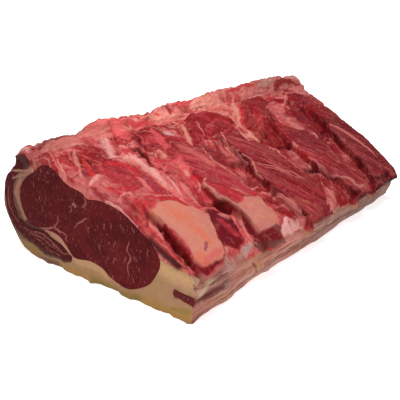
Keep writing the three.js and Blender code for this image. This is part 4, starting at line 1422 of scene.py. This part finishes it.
def fat_cap(shape, looks):
    """The fat cap: its outside, both cut ends and the ridge along the spine."""
    share = np.linspace(0, 1, shape.fat_stations)[:, None]
    across, height = fat_ring(share, shape)
    along = share * far_reach(across)
    tint, out, up, streaks = fat_side(along, across, height, shape)
    grain = np.stack([plan(along, across), across + height], -1) * MM
    across = across - out * (1 - smooth(across, *FLANK_ACROSS)) * smooth(height, 0, 4)
    height = height + up
    near_toe = toe(across, height, shape) * (1 - smooth(share, 0, TOE_ALONG)) / loin_length(across)
    skin = Skin()
    points = place(share * far_reach(across) - near_toe, across, height)
    skin.add(points, tint, streaks, 1.0, grain, closed=True)
    face = disc(*resample(across[0], height[0], NEAR_FACE_POINTS), FACE_RINGS, NEAR_FACE_CORE)
    face_along = -toe(*face, shape) / loin_length(face[0])
    tint = face_tint(*face)
    raw = 0.2 * smooth(tint[..., 0], *FACE_PALE)
    skin.add(place(face_along, *face), tint, 0.1, raw, face_grain(*face), closed=True)
    back = disc(*resample(across[-1], height[-1], FAR_FACE_POINTS), FACE_RINGS, FAR_FACE_CORE)
    skin.add(place(far_reach(back[0]), *back), face_tint(*back), 0.1, 0.3, face_grain(*back), closed=True)
    settle(skin.build("fat_cap_rind"), fat_material(looks), "fat_cap")


# Seams on the cut faces: what it is, its half width in mm, how much it covers, and photo pixels
EYE_SEAMS = [
    ("main seam", 1.0, 0.8, [(57, 215), (58, 222), (54, 228), (66, 235), (65, 240)]),
    ("middle seam", 0.7, 0.8, [(75, 228), (80, 222), (87, 219)]),
    ("notch seam", 1.2, 0.6, [(84, 197), (86, 204), (82, 209)]),
    ("pale spot", 2.0, 0.8, [(73, 204), (75, 206)]),
    ("fan line", 0.9, 0.6, [(69, 206), (72, 208), (70, 212)]),
    ("long seam", 0.9, 0.8, [(130, 240), (128, 250), (131, 257), (128, 266), (129, 275)]),
    ("seam over the wedge", 1.2, 0.8, [(40, 228), (54, 228)]),
]
SHORT_SEAMS = [
    [(115, 240), (113, 247)], [(110, 222), (111, 228)], [(89, 228), (89, 234)], [(104, 222), (104, 229)],
    [(147, 249), (148, 256)], [(113, 264), (115, 257), (117, 261)], [(124, 262), (126, 257)],
    [(40, 196), (41, 201)], [(33, 182), (34, 187)], [(99, 246), (100, 252)], [(134, 282), (133, 277)],
    [(123, 227), (124, 233)],
]
EYE_SEAMS += [("short seam", 0.7, 0.6, path) for path in SHORT_SEAMS]
CAP_SEAMS = [
    ("pale line", 0.8, 0.6, [(24, 226), (50, 250), (60, 256)]),
    ("pale line", 0.8, 0.6, [(28, 229), (52, 245), (58, 252)]),
    ("pale line", 0.9, 0.7, [(35, 231), (48, 238), (62, 252), (70, 254)]),
    ("pale line", 0.9, 0.6, [(10, 186), (9, 198), (13, 212), (19, 223)]),
    ("pale line", 0.8, 0.6, [(36, 245), (56, 258)]),
]
SEAM_RISE = 0.1


def seam_strokes(seams):
    """Seams as strokes, laid out like those of the rib side."""
    return [(name, "seam", half, SEAM_RISE, cover, path) for name, half, cover, path in seams]


EYE_STROKES = seam_strokes(EYE_SEAMS)
CAP_STROKES = seam_strokes(CAP_SEAMS) + FORK_STROKES

# Tint of the cut muscles: sizes in mm of its random fields, and shares of fibres and rawness
EYE_MOTTLE = (14, 20)
CAP_MOTTLE = 9
CUT_FIBRE_RAW = (1.0, 0.3)
STRIP_SIDE_FIBRE_RAW = (0.3, 0.3)

# Eye: points round it, stations along it, rings of its near and far face, and the line they close in on
EYE_POINTS = 520
EYE_STATIONS = 24
EYE_RINGS = (64, 50)
EYE_CORE = ((70, 38), (155, 62))

# Points of the strips along each edge and from edge to edge, stations along them, and their edges' wobble
CAP_STEPS = 120
FLANK_STEPS = 24
STRIP_ROWS = 14
STRIP_STATIONS = 60
STRIP_WOBBLE = 0.16
STRIP_WOBBLE_STEPS = 7

# How far in mm a muscle lies under the rib side or the spine side, at the near cut and behind it
EYE_COVER = (-4, 3)
EYE_COVER_ALONG = 0.02
STRIP_COVER = (-10, 4)
STRIP_COVER_ALONG = 0.03


def carried(along, across, height):
    """A muscle's outline shrinks with the loin and dips under the straps behind the near end."""
    dip = 1 - MUSCLE_DIP * smooth(along, 0, MUSCLE_DIP_ALONG)
    return MUSCLE_FLOOR + (height - MUSCLE_FLOOR) * dip * crest(along, across) / crest(0, across)


def cut_canvas(tint, strokes, across, height):
    """A cut face with its seams painted on."""
    return Canvas(tint, across, height, soft=FACE_SOFT).lay(strokes, on_near_cut)


def eye_canvas(across, height):
    """The eye's cut face, darker toward the spine."""
    rough = Grain(SEEDS["eye"]).layers(across / EYE_MOTTLE[0], height / EYE_MOTTLE[1])
    tint = blend(plain("eye", across), "eye dark", smooth(rough, -0.3, 0.5) * 0.6)
    tint = blend(tint, "eye dark", smooth(across, 100, 170) * 0.7)
    return cut_canvas(tint, EYE_STROKES, across, height)


def cap_tint(across, height):
    """Tint of the cap muscle's cut face."""
    rough = Grain(SEEDS["cap"]).layers(across / CAP_MOTTLE, height / CAP_MOTTLE)
    tint = blend(plain("cap", across), "eye dark", smooth(rough, 0, 0.8))
    return cut_canvas(tint, CAP_STROKES, across, height).tint


def flank_tint(across, height):
    """The flank strip's meat; its ragged edges are painted on the fat."""
    return plain("strip", across)


def muscle_along(share, across, shape):
    """Where a muscle's stations lie along, from just out of the near cut to just past the far end."""
    out = shape.cut_proud / MM / loin_length(across)
    return share * far_reach(across) - (1 - share) * out + share * FAR_PROUD / loin_length(across)


def eye_muscle(shape, looks):
    """The large muscle of the cut ends."""
    skin = Skin()
    outline = curve_points(EYE_OUTLINE, EYE_POINTS, closed=True)
    across, height = outline.T
    along = muscle_along(np.linspace(0, 1, EYE_STATIONS)[:, None], across, shape)
    side = carried(np.clip(along, 0, 1), across, height)
    side_across = np.broadcast_to(across, side.shape)
    on_strap, _, _ = strap_fields(along, side_across, 0)
    cover = mix(*EYE_COVER, smooth(along, 0, EYE_COVER_ALONG))
    side = np.minimum(side, rib_base(along, side_across, on_strap, shape) - cover)
    grain = face_grain(side_across, side)
    skin.add(place(along, side_across, side), PALETTE["eye dark"], 0, 0, grain, closed=True)
    near_rings, far_rings = EYE_RINGS
    face = disc(across, height, near_rings, EYE_CORE)
    painted = eye_canvas(*face)
    painted.relief[0] = 0
    out = shape.cut_proud / MM + painted.relief + toe(*face, shape)
    near_points = place(-out / loin_length(face[0]), *face)
    skin.add(near_points, painted.tint, *CUT_FIBRE_RAW, face_grain(*face), closed=True)
    back = disc(across, side[-1], far_rings, EYE_CORE)
    far_points = place(far_reach(back[0]) + FAR_PROUD / loin_length(back[0]), *back)
    skin.add(far_points, eye_canvas(*back).tint, *CUT_FIBRE_RAW, face_grain(*back), closed=True)
    settle(skin.build("eye_muscle_meat"), cut_material(looks, "eye meat"), "eye_muscle")


def band(path, half_widths, steps):
    """Both edges of a band along a path, as one outline."""
    middle = curve_points(path, steps)
    run = np.gradient(middle, axis=0)
    run /= np.linalg.norm(run, axis=1)[:, None]
    half = np.interp(np.linspace(0, 1, steps), np.linspace(0, 1, len(half_widths)), half_widths)
    wobble = 1 + STRIP_WOBBLE * Grain(SEEDS["band"]).layers(np.arange(steps) / STRIP_WOBBLE_STEPS, 0.5, 2)
    side = np.stack([-run[:, 1], run[:, 0]], -1) * (half * wobble)[:, None]
    return np.concatenate([middle + side, (middle - side)[::-1]])


def strip_muscle(outline, sink, tint_of, shape):
    """Skin of a muscle whose section is a band; sink moves it across behind the near end."""
    skin = Skin()
    share = np.linspace(0, 1, STRIP_STATIONS)[:, None]
    across, height = outline.T
    along = muscle_along(share, across, shape)
    ducked = FLANK_MUSCLE_DUCKS * smooth(along, 0, FLANK_MUSCLE_DUCKS_ALONG)
    sunk = across + sink * (ducked + smooth(along, 0, FLANK_MUSCLE_SINKS_ALONG))
    side = carried(np.clip(along, 0, 1), sunk, height)
    cover = mix(*STRIP_COVER, smooth(along, 0, STRIP_COVER_ALONG))
    sunk = np.minimum(sunk, spine_side(side / ridge_crest(along, shape)) - cover)
    along = along - toe(sunk, side, shape) / loin_length(sunk) * (1 - smooth(share, 0, TOE_ALONG))
    grain = face_grain(sunk, side)
    skin.add(place(along, sunk, side), tint_of(sunk, side), *STRIP_SIDE_FIBRE_RAW, grain, closed=True)
    for station in (0, -1):
        ring = np.stack([along[station], sunk[station], side[station]], -1)
        left, right = ring[:len(ring) // 2], ring[:len(ring) // 2 - 1:-1]
        grid = mix(left[None], right[None], np.linspace(0, 1, STRIP_ROWS)[:, None, None])
        face = grid[..., 1], grid[..., 2]
        skin.add(place(grid[..., 0], *face), tint_of(*face), *CUT_FIBRE_RAW, face_grain(*face))
    return skin


def cap_muscle(shape, looks):
    """The curved strip round the spine side of the eye."""
    skin = strip_muscle(band(CAP_PATH, CAP_HALF_WIDTHS, CAP_STEPS), 0, cap_tint, shape)
    settle(skin.build("cap_muscle_meat"), cut_material(looks, "cap meat"), "cap_muscle")


def flank_muscle(shape, looks):
    """The thin strip near the flank corner."""
    outline = band(FLANK_MUSCLE_PATH, FLANK_MUSCLE_HALF_WIDTHS, FLANK_STEPS)
    skin = strip_muscle(outline, FLANK_MUSCLE_SINKS, flank_tint, shape)
    settle(skin.build("flank_muscle_meat"), cut_material(looks, "flank meat"), "flank_muscle")


# Strokes of the rib side that a loose thread of sinew lies on
THREADS = ("curl", "web", "pale curl", "strand", "tendon of strap 3", "streak of strap 3",
           "streak of strap 2", "streak of strap 4", "pale bit")
THREAD_STEPS = 24
THREAD_JUMP = 0.004
THREAD_SIDES = 8
THREAD_WAVES = 220
THREAD_SIZES = ("Radius", "Wobble", "Spacing", "Seed")


def on_meat(pixel, trees):
    """Point in metres where the sight line through a photo pixel meets the rib side, or none."""
    points = (sight(pixel) + [ORIGIN_X, ORIGIN_Y, 0]) * MM
    start, run = Vector(points[0]), Vector(points[-1] - points[0])
    hits = [tree.ray_cast(start, run) for tree in trees]
    hits = [hit for hit in hits if hit[0] is not None]
    return min(hits, key=lambda hit: hit[3])[0] if hits else None


def thread_lines(trees):
    """Points and edges of the threads' middle lines, cut where the meat steps away from a line."""
    points, edges = [], []
    for pixels in [pixels for name, *_, pixels in RIB_STROKES if name in THREADS]:
        hits = [on_meat(pixel, trees) for pixel in curve_points(pixels, THREAD_STEPS)]
        line = [hit for hit in hits if hit is not None]
        for step, (start, end) in enumerate(zip(line[:-1], line[1:]), len(points)):
            if (end - start).length < THREAD_JUMP:
                edges.append((step, step + 1))
        points += line
    return points, edges


def thread_tree(material):
    """Geometry nodes that turn lines into thin, wavy tubes with tapering ends."""
    tree = bpy.data.node_groups.new("sinew threads", "GeometryNodeTree")
    tree.interface.new_socket("Lines", in_out="INPUT", socket_type="NodeSocketGeometry")
    for name in THREAD_SIZES:
        tree.interface.new_socket(name, in_out="INPUT", socket_type="NodeSocketFloat")
    tree.interface.new_socket("Threads", in_out="OUTPUT", socket_type="NodeSocketGeometry")
    sizes = add_node(tree, "NodeGroupInput").outputs
    curve = add_node(tree, "GeometryNodeMeshToCurve", None, {"Mesh": sizes["Lines"]}).outputs[0]
    fine = add_node(tree, "GeometryNodeResampleCurve", {"mode": "LENGTH"},
                    {"Curve": curve, "Length": sizes["Spacing"]}).outputs[0]
    where = add_node(tree, "GeometryNodeInputPosition").outputs[0]
    waves = add_node(tree, "ShaderNodeTexNoise", {"noise_dimensions": "4D"},
                     {"Vector": where, "W": sizes["Seed"], "Scale": THREAD_WAVES}).outputs["Color"]
    middle = add_node(tree, "ShaderNodeVectorMath", {"operation": "SUBTRACT"},
                      {0: waves, 1: (0.5, 0.5, 0.5)}).outputs[0]
    offset = add_node(tree, "ShaderNodeVectorMath", {"operation": "SCALE"},
                      {0: middle, "Scale": sizes["Wobble"]}).outputs[0]
    wavy = add_node(tree, "GeometryNodeSetPosition", None, {"Geometry": fine, "Offset": offset}).outputs[0]
    passed = Signal(tree, add_node(tree, "GeometryNodeSplineParameter").outputs["Factor"])
    taper = (passed * (1 - passed) * 4).maths("POWER", 0.5)
    ring = add_node(tree, "GeometryNodeCurvePrimitiveCircle", None,
                    {"Resolution": THREAD_SIDES, "Radius": sizes["Radius"]}).outputs[0]
    sockets = {"Curve": wavy, "Profile Curve": ring, "Scale": taper.socket, "Fill Caps": True}
    tube = add_node(tree, "GeometryNodeCurveToMesh", None, sockets).outputs[0]
    real = add_node(tree, "GeometryNodeRealizeInstances", None, {"Geometry": tube}).outputs[0]
    dressed = add_node(tree, "GeometryNodeSetMaterial", None, {"Geometry": real, "Material": material})
    add_node(tree, "NodeGroupOutput", None, {"Threads": dressed.outputs[0]})
    return tree


def sinew_threads(settings):
    """Thin threads of sinew that lie on the rib side."""
    depsgraph = bpy.context.evaluated_depsgraph_get()
    trees = [BVHTree.FromObject(bpy.data.objects[name], depsgraph) for name in RIB_PIECES]
    points, edges = thread_lines(trees)
    lines = bpy.data.meshes.new("sinew lines")
    lines.from_pydata(points, edges, [])
    piece = bpy.data.objects.new("sinew_threads", lines)
    bpy.context.scene.collection.objects.link(piece)
    material = sinew_material()
    tree = thread_tree(material)
    modifier = piece.modifiers.new("threads", "NODES")
    modifier.node_group = tree
    for item in tree.interface.items_tree:
        if item.name in THREAD_SIZES:
            modifier[item.identifier] = float(getattr(settings, item.name.lower()))
    whole = piece.evaluated_get(bpy.context.evaluated_depsgraph_get())
    piece.data = bpy.data.meshes.new_from_object(whole)
    piece.modifiers.remove(modifier)
    piece.data.shade_smooth()
    settle(piece, material, "rib_meat")


WHITE = (1, 1, 1, 1)
FLOOR_COLOUR = (0.9, 0.9, 0.9, 1)
FLOOR_ROUGHNESS = 0.9


def photo_camera(scene):
    """The camera at the photo's viewing angle."""
    target = Vector((ORIGIN_X + VIEW_TARGET[0], ORIGIN_Y + VIEW_TARGET[1], VIEW_TARGET[2])) * MM
    back = Vector(view_axes()[0])
    data = bpy.data.cameras.new("photo camera")
    data.sensor_width = SENSOR_MM
    data.lens = VIEW_FOCAL_PX * SENSOR_MM / PHOTO_PX
    camera = bpy.data.objects.new("photo camera", data)
    camera.location = target + back * VIEW_DISTANCE * MM
    camera.rotation_euler = back.to_track_quat("Z", "Y").to_euler()
    scene.collection.objects.link(camera)
    scene.camera = camera


def pale_floor(scene, settings):
    """A plain pale floor under the loin."""
    half = settings.floor_half
    corners = [(-half, -half, 0), (half, -half, 0), (half, half, 0), (-half, half, 0)]
    mesh = bpy.data.meshes.new("floor")
    mesh.from_pydata(corners, [], [(0, 1, 2, 3)])
    material, tree = new_material("pale floor")
    sockets = {"Base Color": FLOOR_COLOUR, "Roughness": FLOOR_ROUGHNESS, "Emission Color": WHITE,
               "Emission Strength": settings.floor_glow}
    shader = add_node(tree, "ShaderNodeBsdfPrincipled", None, sockets)
    add_node(tree, "ShaderNodeOutputMaterial", None, {"Surface": shader.outputs[0]})
    mesh.materials.append(material)
    floor = bpy.data.objects.new("floor", mesh)
    scene.collection.objects.link(floor)


def studio_light(scene, settings):
    """Soft light from all round and one softbox."""
    world = bpy.data.worlds.new("soft room")
    world.use_nodes = True
    background = world.node_tree.nodes["Background"]
    background.inputs["Color"].default_value = WHITE
    background.inputs["Strength"].default_value = settings.room_light
    scene.world = world
    data = bpy.data.lights.new("softbox", "AREA")
    data.shape = "DISK"
    data.size = settings.lamp_size
    data.energy = settings.lamp_energy
    lamp = bpy.data.objects.new("softbox", data)
    lamp.location = settings.lamp_place
    lamp.rotation_euler = lamp.location.to_track_quat("Z", "Y").to_euler()
    scene.collection.objects.link(lamp)
    scene.view_settings.view_transform = "Standard"


class StriploinShape(bpy.types.PropertyGroup):
    """Sizes of the loin's relief."""
    grid: bpy.props.IntProperty(name="Rib grid", description="Points along the rib side", default=560)
    fat_stations: bpy.props.IntProperty(
        name="Fat stations", description="Points along the fat", default=305)
    seed: bpy.props.IntProperty(name="Seed", description="Seed of the lumps and streaks", default=3)
    groove_depth: bpy.props.FloatProperty(
        name="Groove depth", description="Depth of the grooves that the ribs left",
        default=0.009, unit="LENGTH")
    streaks: bpy.props.FloatProperty(
        name="Streaks", description="Strength of the broad streaks on the straps",
        default=0.26, subtype="FACTOR")
    strap_dome: bpy.props.FloatProperty(
        name="Strap dome", description="Rise of a strap's middle", default=0.0018, unit="LENGTH")
    strap_end: bpy.props.FloatProperty(
        name="Strap end", description="Height of a strap's end at the flank", default=0.012, unit="LENGTH")
    ridge_height: bpy.props.FloatProperty(
        name="Ridge height", description="Rise of the fat along the spine", default=0.011, unit="LENGTH")
    ridge_lumps: bpy.props.FloatProperty(
        name="Ridge lumps", description="Unevenness of the spine's fat", default=0.0012, unit="LENGTH")
    rim_wobble: bpy.props.FloatProperty(
        name="Rim wobble", description="Unevenness of the cut end's low edge", default=0.002, unit="LENGTH")
    cut_proud: bpy.props.FloatProperty(
        name="Cut meat", description="How far cut meat stands out of the fat",
        default=0.0002, unit="LENGTH")


class StriploinLooks(bpy.types.PropertyGroup):
    """Colour and sheen of the meat."""
    fibre_share: bpy.props.FloatProperty(
        name="Pale fibres", description="Strength of the pale fibres", default=0.36, subtype="FACTOR")
    fibre_dark: bpy.props.FloatProperty(
        name="Dark fibres", description="Strength of the dark lines between fibres",
        default=0.4, subtype="FACTOR")
    marbling: bpy.props.FloatProperty(
        name="Marbling", description="Strength of the pale flecks on cut meat",
        default=0.5, subtype="FACTOR")
    meat_roughness: bpy.props.FloatProperty(
        name="Meat roughness", description="Roughness of the rib side", default=0.42, subtype="FACTOR")
    wetness: bpy.props.FloatProperty(
        name="Wetness", description="Strength of the wet sheen", default=0.14, subtype="FACTOR")


class StriploinThreads(bpy.types.PropertyGroup):
    """Sizes of the loose threads of sinew."""
    radius: bpy.props.FloatProperty(
        name="Thread radius", description="Radius of a thread's middle", default=0.00045, unit="LENGTH")
    wobble: bpy.props.FloatProperty(
        name="Thread wobble", description="How far a thread winds", default=0.0022, unit="LENGTH")
    spacing: bpy.props.FloatProperty(
        name="Thread spacing", description="Distance between a thread's rings",
        default=0.0008, unit="LENGTH")
    seed: bpy.props.IntProperty(name="Thread seed", description="Seed of the threads' waves", default=5)


class StriploinStage(bpy.types.PropertyGroup):
    """Floor and light."""
    floor_half: bpy.props.FloatProperty(
        name="Floor", description="Half the floor's side", default=4.0, unit="LENGTH")
    floor_glow: bpy.props.FloatProperty(
        name="Floor glow", description="Light that the floor adds", default=0.75)
    room_light: bpy.props.FloatProperty(name="Room light", description="Light from all round", default=0.22)
    lamp_energy: bpy.props.FloatProperty(
        name="Softbox", description="Power of the softbox", default=13.0, unit="POWER")
    lamp_size: bpy.props.FloatProperty(
        name="Softbox size", description="Width of the softbox", default=0.6, unit="LENGTH")
    lamp_place: bpy.props.FloatVectorProperty(
        name="Softbox place", description="Where the softbox hangs",
        default=(-0.1, -0.1, 1.2), subtype="TRANSLATION")


class STRIPLOIN_OT_rib_meat(bpy.types.Operator):
    """Build the rib side with its straps, grooves and lumps"""
    bl_idname = "striploin.rib_meat"
    bl_label = "Rib side"

    def execute(self, context):
        rib_meat(context.scene.striploin_shape, context.scene.striploin_looks)
        return {"FINISHED"}


class STRIPLOIN_OT_fat_cap(bpy.types.Operator):
    """Build the fat cap and the ridge along the spine"""
    bl_idname = "striploin.fat_cap"
    bl_label = "Fat cap"

    def execute(self, context):
        fat_cap(context.scene.striploin_shape, context.scene.striploin_looks)
        return {"FINISHED"}


class STRIPLOIN_OT_muscles(bpy.types.Operator):
    """Build the muscles that show at the cut ends"""
    bl_idname = "striploin.muscles"
    bl_label = "Muscles"

    def execute(self, context):
        shape, looks = context.scene.striploin_shape, context.scene.striploin_looks
        eye_muscle(shape, looks)
        cap_muscle(shape, looks)
        flank_muscle(shape, looks)
        return {"FINISHED"}


class STRIPLOIN_OT_threads(bpy.types.Operator):
    """Lay loose threads of sinew on the rib side"""
    bl_idname = "striploin.threads"
    bl_label = "Sinew threads"

    def execute(self, context):
        sinew_threads(context.scene.striploin_threads)
        return {"FINISHED"}


class STRIPLOIN_OT_stage(bpy.types.Operator):
    """Set the camera, the floor and the light"""
    bl_idname = "striploin.stage"
    bl_label = "Stage"

    def execute(self, context):
        settings = context.scene.striploin_stage
        photo_camera(context.scene)
        pale_floor(context.scene, settings)
        studio_light(context.scene, settings)
        return {"FINISHED"}


class STRIPLOIN_PT_panel(bpy.types.Panel):
    """Buttons and sizes of the striploin"""
    bl_idname = "STRIPLOIN_PT_panel"
    bl_label = "Beef striploin"
    bl_space_type = "VIEW_3D"
    bl_region_type = "UI"
    bl_category = "Striploin"

    def draw(self, context):
        for operator in OPERATORS:
            self.layout.operator(operator.bl_idname)
        for name, group in GROUPS.items():
            box = self.layout.box()
            for label in group.__annotations__:
                box.prop(getattr(context.scene, name), label)


OPERATORS = (STRIPLOIN_OT_rib_meat, STRIPLOIN_OT_fat_cap, STRIPLOIN_OT_muscles, STRIPLOIN_OT_threads,
             STRIPLOIN_OT_stage)
GROUPS = {"striploin_shape": StriploinShape, "striploin_looks": StriploinLooks,
          "striploin_threads": StriploinThreads, "striploin_stage": StriploinStage}


def register():
    for kind in (*GROUPS.values(), *OPERATORS, STRIPLOIN_PT_panel):
        bpy.utils.register_class(kind)
    for name, group in GROUPS.items():
        setattr(bpy.types.Scene, name, bpy.props.PointerProperty(type=group))


def unregister():
    for name in GROUPS:
        delattr(bpy.types.Scene, name)
    for kind in (STRIPLOIN_PT_panel, *reversed(OPERATORS), *reversed(GROUPS.values())):
        bpy.utils.unregister_class(kind)


def main():
    register()
    bpy.ops.striploin.rib_meat()
    bpy.ops.striploin.fat_cap()
    bpy.ops.striploin.muscles()
    bpy.ops.striploin.threads()
    bpy.ops.striploin.stage()


if __name__ == "__main__":
    main()
